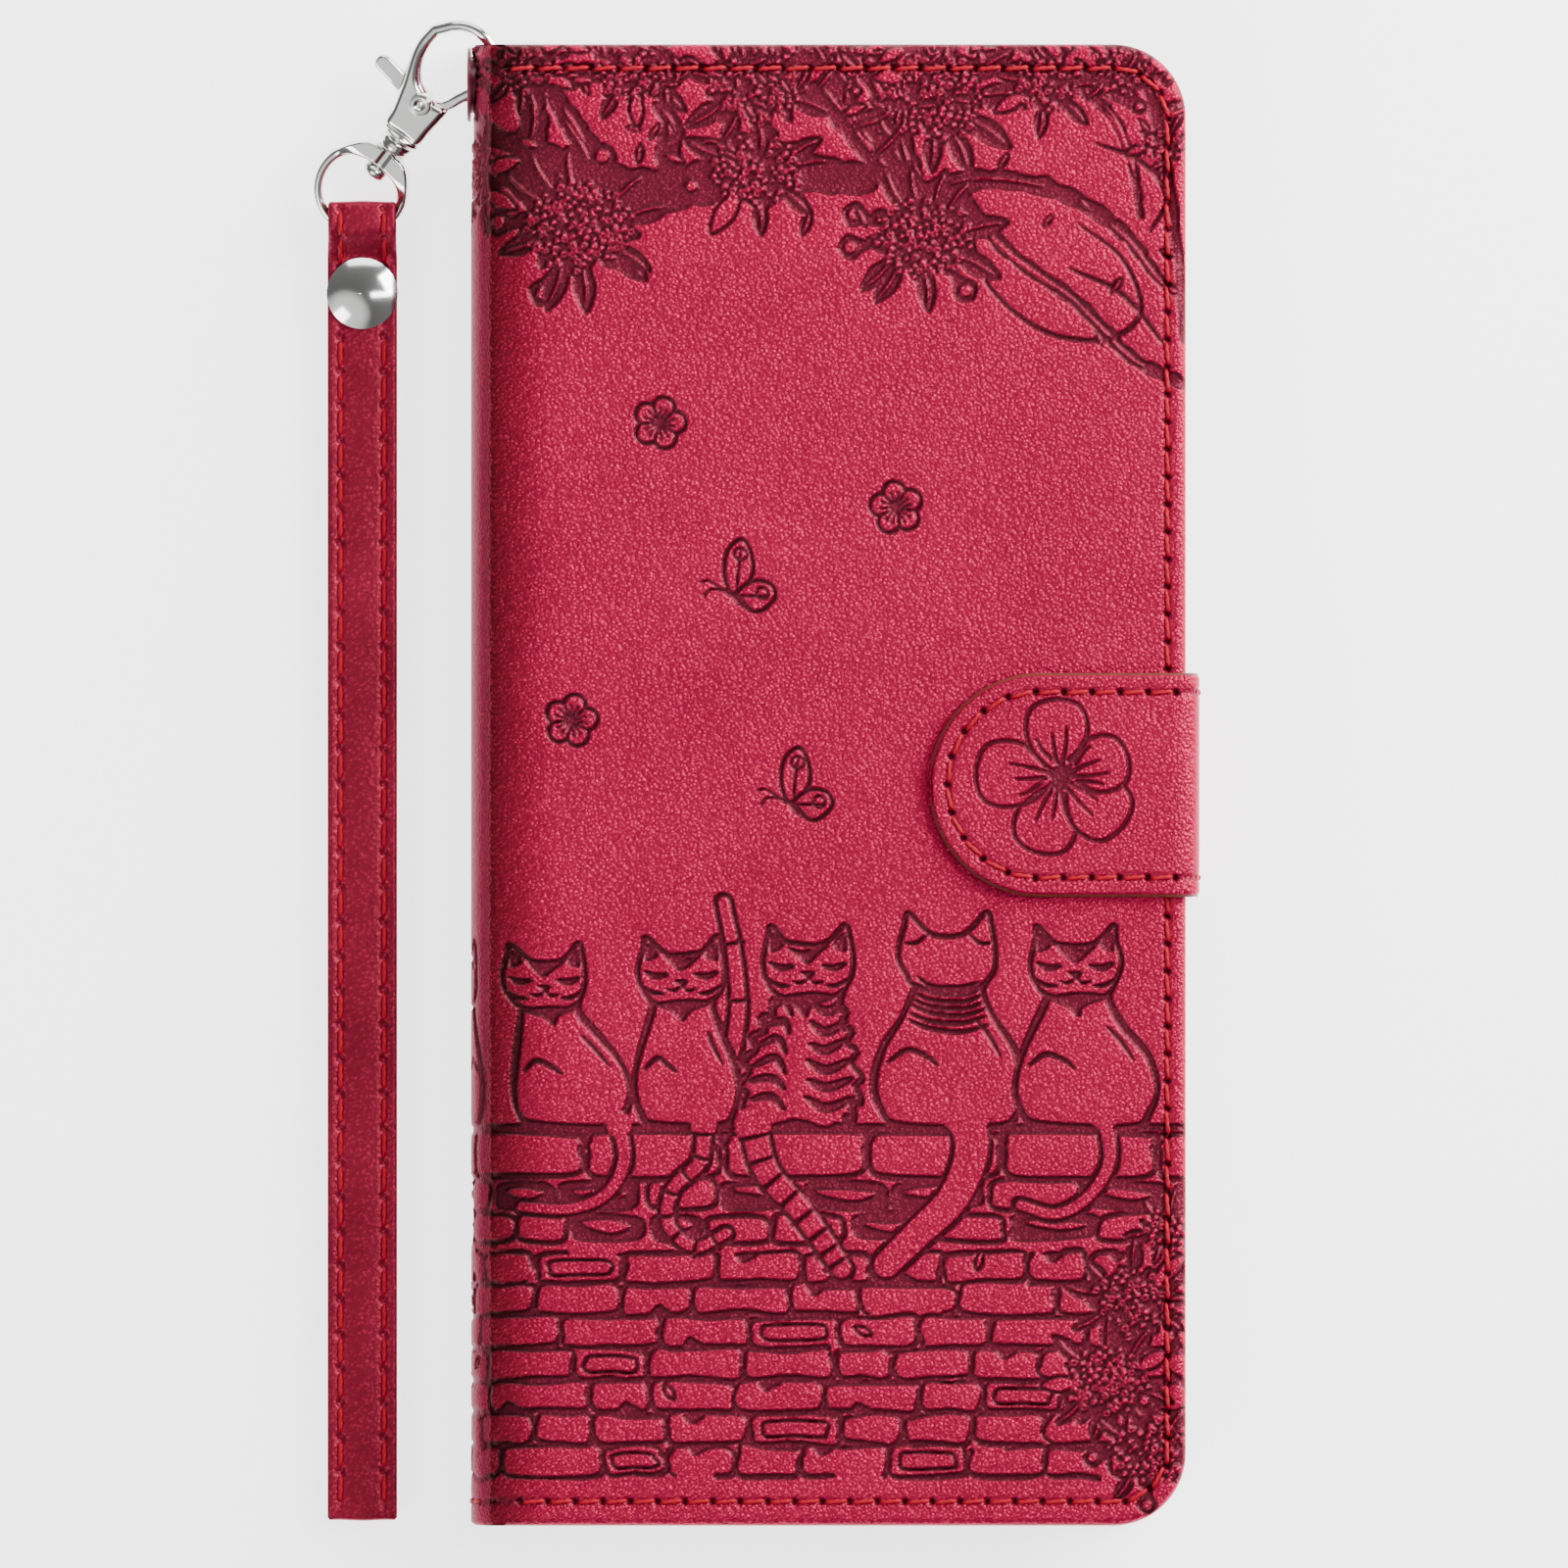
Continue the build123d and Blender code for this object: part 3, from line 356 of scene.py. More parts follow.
def tail_on(canvas, points, width, bands=0):
    """Tail: a raised band between two stamped lines, with cross bands if asked."""
    path = smooth(points, per=8)
    widths = width * np.linspace(1.0, 0.75, len(path))
    view, away = canvas.reach(path, widths, 0.6)
    canvas.lift(view, away)
    canvas.press(view, np.abs(away) - 0.26)
    canvas.disc(path[0], width / 2 + 0.42, raise_it=True)
    if not bands:
        return
    step = max(len(path) // bands, 2)
    for number in range(2, len(path) - 2, step):
        way = path[number + 1] - path[number - 1]
        side = np.array([-way[1], way[0]]) / max(np.hypot(*way), 1e-6) * width / 2
        canvas.line([path[number] - side, path[number] + side], [0.5, 0.3])


def draw_cat(canvas, at, size, mirror=False, lean=0.0, face=True, stripes=0, collar=0, wide=1.0, fluffy=0.0):
    """Seated cat: round haunches, shoulders and an eared head; size is its height."""
    def on(points, jitter=0.0, side=1):
        """Points in units of the cat's height, put on the canvas."""
        p = np.asarray(points, float) * (side, 1)
        p[:, 0] += lean * np.clip(p[:, 1] - 0.3, 0, 0.4)
        return place(wobble(p, jitter), at, size, 0.0, mirror)

    def patch(points, jitter=0.0, side=1, per=4):
        """Filled marking on the coat."""
        canvas.shape(smooth(on(points, jitter, side), closed=True, per=per))

    def stroke(points, width, jitter=0.0, side=1):
        """Line that swells in its middle."""
        path = smooth(on(points, jitter, side))
        canvas.line(path, taper(len(path), width))

    half = [(0.24, 0), (0.34, 0.07), (0.375, 0.2), (0.33, 0.36), (0.23, 0.5), (0.16, 0.62), (0.14, 0.72)]
    widths = [wide, wide, wide, wide, (1 + wide) / 2, 1, 1]
    right = [(x * w, y) for (x, y), w in zip(half, widths)]
    left = [(-x * 0.97, y + 0.01) for x, y in right]
    body_edge = smooth(on(right + left[::-1], 0.004), closed=True)
    if fluffy:
        tufts = np.sin(np.arange(len(body_edge)) * 1.25) * fluffy * size
        out = body_edge - body_edge.mean(0)
        body_edge = body_edge + out / np.hypot(*out.T)[:, None] * tufts[:, None]
    canvas.shape(body_edge, filled=False)
    swell = 0.58 + 0.34 * np.abs(np.sin(np.arange(len(body_edge) + 1) * 0.1 + rng.uniform(0, 3)))
    canvas.outline(body_edge, swell)
    half_head = [(0.05, 0.9), (0.11, 0.925), (0.185, 1.0), (0.205, 0.93), (0.225, 0.82), (0.205, 0.72)]
    half_head += [(0.12, 0.645)]
    head = half_head + [(-x, y) for x, y in half_head[::-1]]
    canvas.shape(smooth(on(head, 0.004), closed=True, per=6), filled=False, rim=0.58)
    if face:
        crown = [(-0.1, 0.9), (-0.05, 0.85), (0, 0.81), (0.05, 0.85), (0.1, 0.9), (0.03, 0.89), (-0.03, 0.89)]
        patch(crown, 0.004)
        for side in (-1, 1):
            patch([(0.178, 0.965), (0.19, 0.87), (0.12, 0.9)], side=side, per=3)
            stroke([(0.19, 0.815), (0.135, 0.79), (0.07, 0.8)], 0.75, side=side)
            stroke([(0.21, 0.74), (0.15, 0.705), (0.09, 0.7)], 0.5, side=side)
            stroke([(0, 0.745), (0.035, 0.715), (0.08, 0.725)], 0.34, side=side)
        patch([(-0.035, 0.77), (0.035, 0.77), (0, 0.735)])
        patch([(-0.15, 0.645), (-0.06, 0.6), (0.0, 0.545), (0.04, 0.6), (0.16, 0.645), (0.03, 0.668)], 0.005)
    else:
        for side in (-1, 1):
            stroke([(0.1, 0.9), (0.15, 0.86), (0.2, 0.86)], 0.45, side=side)
    if not stripes:
        stroke([(-0.3 * wide, 0.3), (-0.2 * wide, 0.36), (-0.1, 0.33), (-0.05, 0.29)], 0.62)
        stroke([(0.13, 0.5), (0.2 * wide, 0.43), (0.26 * wide, 0.33)], 0.5)
    for number in range(stripes):
        y = 0.1 + 0.46 * number / max(stripes - 1, 1)
        reach = (0.33 - 0.27 * max(y - 0.2, 0)) * wide
        stroke([(reach, y + 0.05), (reach * 0.55, y), (0.03, y + 0.04)], 1.15, 0.006)
        stroke([(-reach, y + 0.03), (-reach * 0.55, y + 0.055), (-0.07, y - 0.01)], 0.95, 0.006)
    for number in range(collar):
        y = 0.45 + 0.033 * number
        reach = 0.185 - 0.2 * (y - 0.45)
        stroke([(-reach, y + 0.05), (-0.07, y + 0.01), (0.07, y), (reach, y + 0.03)], 0.6, 0.004)


def draw_wall(canvas, left, right):
    """Courses of uneven bricks, each with its own stamped outline of varying width."""
    rows = int(round((WALL_TOP - WALL_BOTTOM) / BRICK_PITCH))
    for row in range(rows):
        y = WALL_TOP - (row + 0.5) * BRICK_PITCH
        x = left - rng.uniform(0, 8)
        while x < right:
            length = rng.uniform(6.5, 11.5)
            draw_brick(canvas, x, x + length - 0.2, y)
            x += length


def draw_brick(canvas, left, right, y):
    """One brick, a soft-cornered outline that is broken, chipped or doubled here and there."""
    h = BRICK_PITCH / 2 - 0.13
    r = 0.85
    centre = (left + right) / 2
    corner = [(left + r, y - h), (centre, y - h), (right - r, y - h), (right, y - h + r), (right, y + h - r)]
    corner += [(right - r, y + h), (centre, y + h), (left + r, y + h), (left, y + h - r), (left, y - h + r)]
    edge = cut_outline(corner, 0.16, per=6)
    widths = 0.34 + 0.36 * np.abs(np.sin(np.linspace(0, 2 * np.pi, len(edge)) + rng.uniform(0, 6)))
    widths = widths + rng.normal(0, 0.05, len(edge))
    edge, widths = np.vstack([edge, edge[:1]]), np.append(widths, widths[0])
    first = int(rng.uniform(0, len(edge) - 14)) if rng.random() < 0.45 else len(edge)
    for part in (slice(0, first), slice(first + 9, None)):
        if len(edge[part]) > 2:
            canvas.line(edge[part], widths[part])
    middle = np.array([centre, y])
    kind = rng.random()
    if kind < 0.14:
        canvas.line(edge * (0.72, 0.5) + middle * (0.28, 0.5), 0.36)
    elif kind < 0.2:
        draw_leaf(canvas, middle + (rng.uniform(-2, 1), -0.3), 2.1, rng.uniform(0, 3.1), open_leaf=True)
    elif kind < 0.5:
        start = left + rng.uniform(1.2, 3.4)
        side = rng.choice([-1, 1]) * h
        chip = [(start, y + side), (start + 0.7, y + side * 0.35), (start + 1.5, y + side * 0.5)]
        chip += [(start + 2.6, y + side * 0.98)]
        canvas.shape(cut_outline(chip, 0.1, per=5))


def draw_ledge(canvas, left, right):
    """Stone coping under the cats, and a course of darker, broken stones below it."""
    canvas.line([(left, LEDGE_Y), (right, LEDGE_Y)], 0.75)
    top, base = LEDGE_Y - 0.8, LEDGE_Y - SLAB_HEIGHT
    x = left
    while x < right:
        length = rng.uniform(11, 19)
        slab = [(x + 0.7, top), (x + length - 0.8, top), (x + length - 0.4, LEDGE_Y - 2.5)]
        slab += [(x + length - 0.9, base), (x + length / 2, base - 0.3), (x + 1.0, base)]
        slab += [(x + 0.4, LEDGE_Y - 2.8)]
        edge = cut_outline(slab, 0.14)
        canvas.outline(edge, 0.5 + 0.3 * np.abs(np.sin(np.arange(len(edge) + 1) * 0.15)))
        x += length
    for y, tall, dark_part in ((base - 2.3, 1.6, 0.75), (base - 5.9, 1.5, 0.3)):
        x = left - rng.uniform(0, 4)
        while x < right:
            length = rng.uniform(5.5, 10.5)
            draw_block(canvas, x, x + length, y, tall, dark_part)
            x += length + rng.uniform(0.1, 0.8)


def draw_block(canvas, left, right, y, tall, dark_part):
    """One stone under the ledge, either outlined or stamped dark with a raised island."""
    r = 0.9
    stone = [(left + r, y + tall), (right - r, y + tall), (right, y)]
    stone += [(right - r, y - tall), (left + r, y - tall), (left, y)]
    edge = cut_outline(stone, 0.2)
    if rng.random() < dark_part:
        canvas.shape(edge)
        length = right - left
        island = [(left + 1.3, y + 0.4), (left + length * 0.5, y + 0.75), (right - 1.5, y + 0.3)]
        island += [(left + length * 0.55, y - 0.4)]
        canvas.shape(cut_outline(island, 0.2), filled=False)
    else:
        canvas.outline(edge, 0.58)


def draw_tree(canvas, shift, mirror=False):
    """Flowering boughs along the top, drawn about the cover's own middle."""
    def at(points):
        p = np.array(points, float)
        if mirror:
            p = p * (-1, 1)
        return p + (shift, 0)

    boughs = [
        ([(-47, 74), (-38, 71), (-30, 68.5), (-21, 66.5), (-12, 68), (-3, 68.5), (4, 68)], 6.2, 3.6),
        ([(-34, 70), (-33, 75), (-35, 80), (-36, 84)], 3.2, 2.4),
        ([(-26, 68), (-27.5, 72), (-30, 76), (-31, 78)], 3.6, 1.5),
        ([(-17, 67), (-18, 71), (-17.5, 74), (-19, 76)], 3.4, 1.4),
        ([(-6, 85), (-1, 79), (3, 74), (6, 70), (9, 66)], 3.6, 3.0),
        ([(1, 85), (5, 79), (8, 73), (10, 67)], 2.4, 2.0),
        ([(9, 66), (17, 68), (26, 66.5), (33, 62), (37, 57), (41, 54)], 2.6, 0.9),
        ([(6, 84), (15, 81), (24, 80), (31, 76), (34, 70), (35, 64)], 1.8, 0.8),
        ([(20, 84), (29, 79), (36, 76), (42, 77)], 1.5, 1.0),
        ([(15, 66), (20, 60), (28, 54), (34, 48), (40, 45), (44, 43)], 1.7, 1.2),
        ([(34, 84), (37, 74), (39, 62), (40, 50)], 1.6, 0.9),
        ([(-39, 62), (-34, 64), (-29, 66)], 0.6, 0.9),
    ]
    for points, wide, thin in boughs:
        draw_branch(canvas, at(points), wide, thin, 4)
    loops = [
        [(16, 62), (18, 56), (24, 51), (31, 50), (35, 53), (33, 59), (28, 63)],
        [(30, 72), (35, 70), (38, 66), (36, 62)],
        [(27, 58), (33, 55), (38, 49)],
    ]
    for points in loops:
        path = smooth(at(points), per=9)
        canvas.line(path, taper(len(path), 0.55))
    heads = [(-28.0, 62.6, 7.4, 13), (-8.0, 69.0, 6.2, 9), (-8, 78.4, 6.2, 9), (-22, 80.2, 5.2, 8)]
    heads += [(10.5, 61.4, 6.6, 12), (12, 77.2, 7.0, 11), (24.5, 78.5, 4.4, 7), (2, 82, 3.8, 6)]
    heads += [(-42, 68, 5.6, 8), (33, 80.5, 4.2, 7), (-34, 80.5, 4.2, 7), (-45, 80, 4.6, 8)]
    heads += [(37.5, 72, 3.0, 5)]
    for x, y, radius, leaves in heads:
        draw_cluster(canvas, at([(x, y)])[0], radius, leaves, rng.uniform(0, 3))
    loose_leaves = ((60, -46, 40, 79, 84, 3.6), (26, -36, 20, 69, 80, 3.0))
    for count, left, right, low, high, longest in loose_leaves:
        for number in range(count):
            spot = at([(rng.uniform(left, right), rng.uniform(low, high))])[0]
            draw_leaf(canvas, spot, rng.uniform(1.8, longest), rng.uniform(-3.1, 3.1), rng.random() < 0.3)
    twig_leaves = [(19, 69, 2.4, 1.0), (28, 66, 2.2, -0.9), (33, 57, 2.4, -2.2), (36, 69, 2.2, 0.4)]
    twig_leaves += [(30, 51, 2.0, -1.2), (24, 62.5, 2.0, 0.9), (37, 60, 2.4, -0.3), (-2, 64.5, 3.2, -1.9)]
    twig_leaves += [(3, 65, 2.8, -1.1)]
    for x, y, size, turn in twig_leaves:
        draw_leaf(canvas, at([(x, y)])[0], size, turn if not mirror else np.pi - turn)


def draw_scene_on_cover(canvas, shift, mirror=False):
    """Everything on one cover, about the cover's own middle."""
    sign = -1 if mirror else 1

    def at(x, y):
        return (shift + sign * x, y)

    draw_tree(canvas, shift, mirror)
    for x, y in ((-19, 40.6), (7.6, 31.1), (-28.9, 7.2)):
        draw_small_flower(canvas, at(x, y), 3.1, rng.uniform(-0.3, 0.3))
    for x, y in ((-10.6, 21.2), (-4.2, -2.2)):
        draw_butterfly(canvas, at(x, y), 5.4, 0.2 * sign, mirror)
    draw_cat(canvas, at(-28.9, LEDGE_Y), 20.6, mirror, lean=-0.36, wide=0.86)
    raised_tail = ((-11.4, 6), (-10.2, 12.5), (-10.6, 19), (-11.8, 25.2))
    tail_on(canvas, [at(x, y + LEDGE_Y) for x, y in raised_tail], 2.4, 3)
    draw_cat(canvas, at(-16.0, LEDGE_Y), 21.4, mirror, lean=-0.06, wide=0.74)
    draw_cat(canvas, at(-3.2, LEDGE_Y), 22.6, mirror, lean=0.1, stripes=6, wide=0.78, fluffy=0.022)
    draw_cat(canvas, at(13.4, LEDGE_Y), 24.0, mirror, face=False, collar=7, wide=0.95)
    draw_cat(canvas, at(28.8, LEDGE_Y), 22.6, mirror, lean=-0.12, wide=0.95)
    draw_cat(canvas, at(-46.5, LEDGE_Y), 21.0, mirror, face=False, wide=0.9)
    tails = [
        ([(-23.5, 0.2), (-23, -4), (-25, -7.6), (-29, -9.2), (-34.5, -9)], 2.1, 0),
        ([(-14, 0.2), (-14.5, -4), (-17.5, -7), (-18, -11), (-15, -13.5), (-11.5, -12)], 2.2, 7),
        ([(-8.5, 0.2), (-7, -5), (-3.5, -9), (-0.5, -13), (1.5, -16)], 3.4, 8),
        ([(15.5, 1.5), (16, -3), (14, -8), (10, -12), (6.5, -15.5)], 4.6, 0),
        ([(31, 1), (31.5, -4), (29, -8), (25.5, -9.8), (21.5, -8.8)], 2.1, 0),
    ]
    for points, width, bands in tails:
        tail_on(canvas, [at(x, y + LEDGE_Y) for x, y in points], width, bands)
    corner_heads = ((34, -58, 5.4, 9), (31.5, -67, 5.6, 9), (36, -75, 5.2, 8), (38, -50, 3.4, 6))
    for x, y, radius, leaves in corner_heads:
        draw_cluster(canvas, at(x, y), radius, leaves, rng.uniform(0, 3))


# ------------------------------------------------------------------ the cover's wrap
class Wrap:
    """Bent leather seen flat: u runs along its section, and the other way runs straight across."""

    def __init__(self, x, z, first_u, sign, soften, closed=False, shift=0.0, swapped=False):
        step = 0.05
        window = int(soften / step) | 1
        along = np.concatenate([[0], np.cumsum(np.hypot(np.diff(x), np.diff(z)))])
        even = np.arange(0, along[-1], step)
        x, z = np.interp(even, along, x), np.interp(even, along, z)
        kernel = np.ones(window) / window
        pad = window // 2
        for _ in range(2):
            if closed:
                x = np.convolve(np.concatenate([x[-pad:], x, x[:pad]]), kernel, "valid")
                z = np.convolve(np.concatenate([z[-pad:], z, z[:pad]]), kernel, "valid")
            else:
                x[pad:-pad], z[pad:-pad] = np.convolve(x, kernel, "valid"), np.convolve(z, kernel, "valid")
        if closed:
            x, z = np.append(x, x[0]), np.append(z, z[0])
        self.s = np.concatenate([[0], np.cumsum(np.hypot(np.diff(x), np.diff(z)))])
        self.x, self.z = x, z
        self.first_u, self.sign, self.closed = first_u, sign, closed
        self.shift, self.swapped = shift, swapped
        self.length = self.s[-1]

    def at(self, s):
        """The section's point at a length along it."""
        if self.closed:
            s = np.mod(s, self.length)
        return np.interp(s, self.s, self.x), np.interp(s, self.s, self.z)

    def point(self, u, across, height):
        """Place in space of a flattened point raised above the leather's face."""
        s = (u - self.first_u) * self.sign
        x, z = self.at(s)
        ahead, behind = self.at(s + 0.1), self.at(s - 0.1)
        dx, dz = ahead[0] - behind[0], ahead[1] - behind[1]
        scale = self.sign / np.maximum(np.hypot(dx, dz), 1e-9)
        px, pz = x - dz * scale * height, z + dx * scale * height
        if self.swapped:
            return np.stack([across + self.shift, px, pz], -1)
        return np.stack([px, across + self.shift, pz], -1)


def cover_wrap():
    """Outer line of the closed case seen from its end: front, spine and back in one run."""
    bulge = CREASE_X - CREST_X
    radius = ((TOP_Z / 2) ** 2 + bulge**2) / (2 * bulge)
    half = np.arcsin(TOP_Z / 2 / radius)
    turn = np.linspace(half, -half, 200)
    run = np.array([EDGE_X, CREASE_X])
    x = np.concatenate([run, CREST_X + radius - radius * np.cos(turn), run[::-1]])
    z = np.concatenate([run * 0 + TOP_Z, TOP_Z / 2 + radius * np.sin(turn), run * 0])
    return Wrap(x, z, EDGE_X, -1, soften=1.5)


COVER = cover_wrap()
U_HIGH = EDGE_X
U_LOW = EDGE_X - COVER.length
U_MIDDLE = (U_LOW + U_HIGH) / 2
UPPER_CREASE = CREASE_X
LOWER_CREASE = 2 * U_MIDDLE - CREASE_X
BACK_SHIFT = 2 * U_MIDDLE          # the back cover is the front's mirror image


def rounded_box(u, y, centre, half, radius):
    """How far inside a rounded rectangle each point lies, and the way out of it."""
    q = np.abs(u - centre[0]) - half[0] + radius
    p = np.abs(y - centre[1]) - half[1] + radius
    corner = np.hypot(np.maximum(q, 0), np.maximum(p, 0))
    depth = radius - corner - np.minimum(np.maximum(q, p), 0)
    both = (q > 0) & (p > 0)
    out_u = np.where(both, q / np.maximum(corner, 1e-6), (q >= p) * 1.0) * np.sign(u - centre[0])
    out_y = np.where(both, p / np.maximum(corner, 1e-6), (q < p) * 1.0) * np.sign(y - centre[1])
    return depth, out_u, out_y


def outline_depth(u, y):
    """How far inside the cover's outline a point lies, and the way out."""
    return rounded_box(u, y, (U_MIDDLE, 0.0), ((U_HIGH - U_LOW) / 2, HALF_LENGTH), CORNER)


def edge_drop(depth, round_off):
    """How far the surface falls where the leather turns over the board's edge."""
    left = np.clip(round_off - depth, 0, round_off)
    return round_off - np.sqrt(np.maximum(round_off**2 - left**2, 0))


def box_blur(field, cells):
    """Soft copy of a field, by running means both ways."""
    for axis in (0, 1):
        for _ in range(2):
            pad = [(cells + 1, cells) if a == axis else (0, 0) for a in (0, 1)]
            total = np.cumsum(np.pad(field, pad, mode="edge"), axis=axis, dtype=np.float64)
            size = field.shape[axis]
            high = np.take(total, np.arange(2 * cells + 1, 2 * cells + 1 + size), axis=axis)
            low = np.take(total, np.arange(0, size), axis=axis)
            field = ((high - low) / (2 * cells + 1)).astype(np.float32)
    return field


def seam_path():
    """Closed seam inside the cover's rounded outline."""
    left, right, top = U_LOW + SEAM_EDGE, U_HIGH - SEAM_EDGE, HALF_LENGTH - SEAM_END
    r = CORNER - SEAM_EDGE
    low, high, base, roof = left + r, right - r, r - top, top - r
    corners = ((high, roof, 90), (high, base, 0), (low, base, -90), (low, roof, 180))
    points = np.vstack([arc(r, start, start - 90, (x, y), 24) for x, y, start in corners])
    return np.vstack([points, points[:1]])


def along_path(points, pitch):
    """Even places along a path with their directions."""
    reach = np.concatenate([[0], np.cumsum(np.hypot(*np.diff(points, axis=0).T))])
    count = int(reach[-1] / pitch)
    spots = (np.arange(count) + 0.5) * reach[-1] / count

    def spot(run):
        return np.stack([np.interp(run, reach, points[:, k]) for k in (0, 1)], 1)

    way = spot(spots + 0.2) - spot(spots - 0.2)
    return spot(spots), way / np.hypot(*way.T)[:, None]


def sew(canvas, path, pitch):
    """Press the seam's trough and needle holes into a canvas; returns the stitches' places."""
    view, away = canvas.reach(path, 0.0, 1.2)
    canvas.seam[view] = np.maximum(canvas.seam[view], np.exp(-(away / 0.42) ** 2))
    spots, ways = along_path(path, pitch)
    for spot, way in zip(spots, ways):
        hole = spot + way * pitch / 2
        view, x, y = canvas.window(hole[None], 0.8)
        gap = np.hypot(x - hole[0], y - hole[1])
        canvas.holes[view] = np.maximum(canvas.holes[view], np.exp(-(gap / 0.34) ** 4))
    return spots, ways


STAMP_DEPTH, SINK_DEPTH, SEAM_DEPTH, HOLE_DEPTH = 0.26, 0.2, 0.16, 0.5
RIM_RISE = 0.07               # the leather swells a little beside a stamped line
NEAR, BROAD = 0.2, 0.7        # how far the stamping's two soft copies reach


def finish_canvas(canvas, rim_ink=0.5):
    """Work out height and colour from what has been stamped; the colour carries painted shade at stamp rims, needle
    holes and seams.
    """
    near, broad = (box_blur(canvas.stamp, max(int(round(reach / canvas.step)), 1)) for reach in (NEAR, BROAD))
    rim = 4 * near * (1 - near)
    canvas.height = -STAMP_DEPTH * canvas.stamp - SINK_DEPTH * broad
    canvas.height += RIM_RISE * rim * (1 - canvas.stamp) - SEAM_DEPTH * canvas.seam - HOLE_DEPTH * canvas.holes
    # Painted shade: a darker band at the rims of stamped hollows, and dark needle holes and seam troughs, on top of
    # the stamp's own colour.
    canvas.ink = np.clip(0.5 * canvas.stamp + rim_ink * rim * canvas.stamp, 0, 1)
    canvas.ink = np.maximum(canvas.ink, np.maximum(canvas.holes, 0.3 * canvas.seam))
    canvas.worn = np.zeros_like(canvas.stamp)
    return canvas


def sample(canvas, field, x, y):
    """Field values between the canvas's points."""
    fx = np.clip((x - canvas.low[0]) / canvas.step, 0, field.shape[0] - 1.001)
    fy = np.clip((y - canvas.low[1]) / canvas.step, 0, field.shape[1] - 1.001)
    ix, iy = fx.astype(int), fy.astype(int)
    tx, ty = fx - ix, fy - iy
    low = field[ix, iy] * (1 - ty) + field[ix, iy + 1] * ty
    high = field[ix + 1, iy] * (1 - ty) + field[ix + 1, iy + 1] * ty
    return low * (1 - tx) + high * tx


# ------------------------------------------------------------------ meshes from arrays
SHARP_ANGLE = 1.25
ON_EDGE = 0.02                 # points this close to a border belong to its edge


def new_mesh(name, points_mm, faces, attributes=None, sections=None):
    """Object from points in millimetres and a list of face-index arrays, one per material."""
    points = np.asarray(points_mm, np.float32) * MM
    mesh = bpy.data.meshes.new(name)
    mesh.vertices.add(len(points))
    mesh.vertices.foreach_set("co", points.ravel())
    groups = faces if isinstance(faces, list) else [faces]
    loops = np.concatenate([np.asarray(g).ravel() for g in groups]).astype(np.int32)
    sizes = np.concatenate([np.full(len(g), np.asarray(g).shape[1]) for g in groups]).astype(np.int32)
    mesh.loops.add(len(loops))
    mesh.loops.foreach_set("vertex_index", loops)
    mesh.polygons.add(len(sizes))
    mesh.polygons.foreach_set("loop_start", np.concatenate([[0], np.cumsum(sizes)[:-1]]).astype(np.int32))
    if sections is not None:
        index = np.concatenate([np.full(len(g), k) for g, k in zip(groups, sections)]).astype(np.int32)
        mesh.polygons.foreach_set("material_index", index)
    mesh.update(calc_edges=True)
    mesh.validate()
    for key, values in (attributes or {}).items():
        mesh.attributes.new(key, "FLOAT", "POINT").data.foreach_set("value", np.asarray(values, np.float32))
    mesh.polygons.foreach_set("use_smooth", np.ones(len(mesh.polygons), bool))
    mesh.set_sharp_from_angle(angle=SHARP_ANGLE)
    piece = bpy.data.objects.new(name, mesh)
    bpy.context.scene.collection.objects.link(piece)
    return piece


def grid_faces(rows, columns, flip=False):
    """Quads of a grid of points stored row by row."""
    index = np.arange(rows * columns).reshape(rows, columns)
    quads = np.stack([index[:-1, :-1], index[1:, :-1], index[1:, 1:], index[:-1, 1:]], -1).reshape(-1, 4)
    return quads[:, ::-1] if flip else quads


def rings_of_edges(quads, count):
    """Ordered boundaries of a patch of quads, the longest first."""
    starts = quads.ravel()
    ends = np.roll(quads, -1, axis=1).ravel()
    forward = starts.astype(np.int64) * count + ends
    backward = ends.astype(np.int64) * count + starts
    open_edges = ~np.isin(forward, backward)
    follow = dict(zip(starts[open_edges].tolist(), ends[open_edges].tolist()))
    rings = []
    while follow:
        ring = [next(iter(follow))]
        while ring[-1] in follow:
            ring.append(follow.pop(ring[-1]))
        rings.append(np.array(ring[:-1]))
    return sorted(rings, key=len, reverse=True)


def wall_faces(ring, other):
    """Quads between a boundary and its copy further in."""
    return np.stack([ring, other, np.roll(other, -1), np.roll(ring, -1)], -1)


def join_edges(*borders):
    """Inside all of several borders: the nearest one's depth and way out."""
    def border(u, y):
        found = [b(u, y) for b in borders]
        depth, out_u, out_y = found[0]
        for other, other_u, other_y in found[1:]:
            closer = other < depth
            depth = np.where(closer, other, depth)
            out_u, out_y = np.where(closer, other_u, out_u), np.where(closer, other_y, out_y)
        return depth, out_u, out_y
    return border


def end_border(half):
    """Straight edges at both ends of a strip."""
    def border(u, y):
        return half - np.abs(y), u * 0, np.sign(y)
    return border


def hole_border(centre, half, radius):
    """Outside a hole with rounded corners."""
    def border(u, y):
        depth, out_u, out_y = rounded_box(u, y, centre, half, radius)
        return -depth, -out_u, -out_y
    return border


def tab_border(centre, half):
    """Clasp outline: a half circle at the tip, straight sides behind it."""
    def border(u, y):
        round_part = u < centre
        away = np.maximum(np.hypot(u - centre, y), 1e-6)
        depth = np.where(round_part, half - away, half - np.abs(y))
        out_u = np.where(round_part, (u - centre) / away, 0.0)
        out_y = np.where(round_part, y / away, np.sign(y))
        return depth, out_u, out_y
    return border


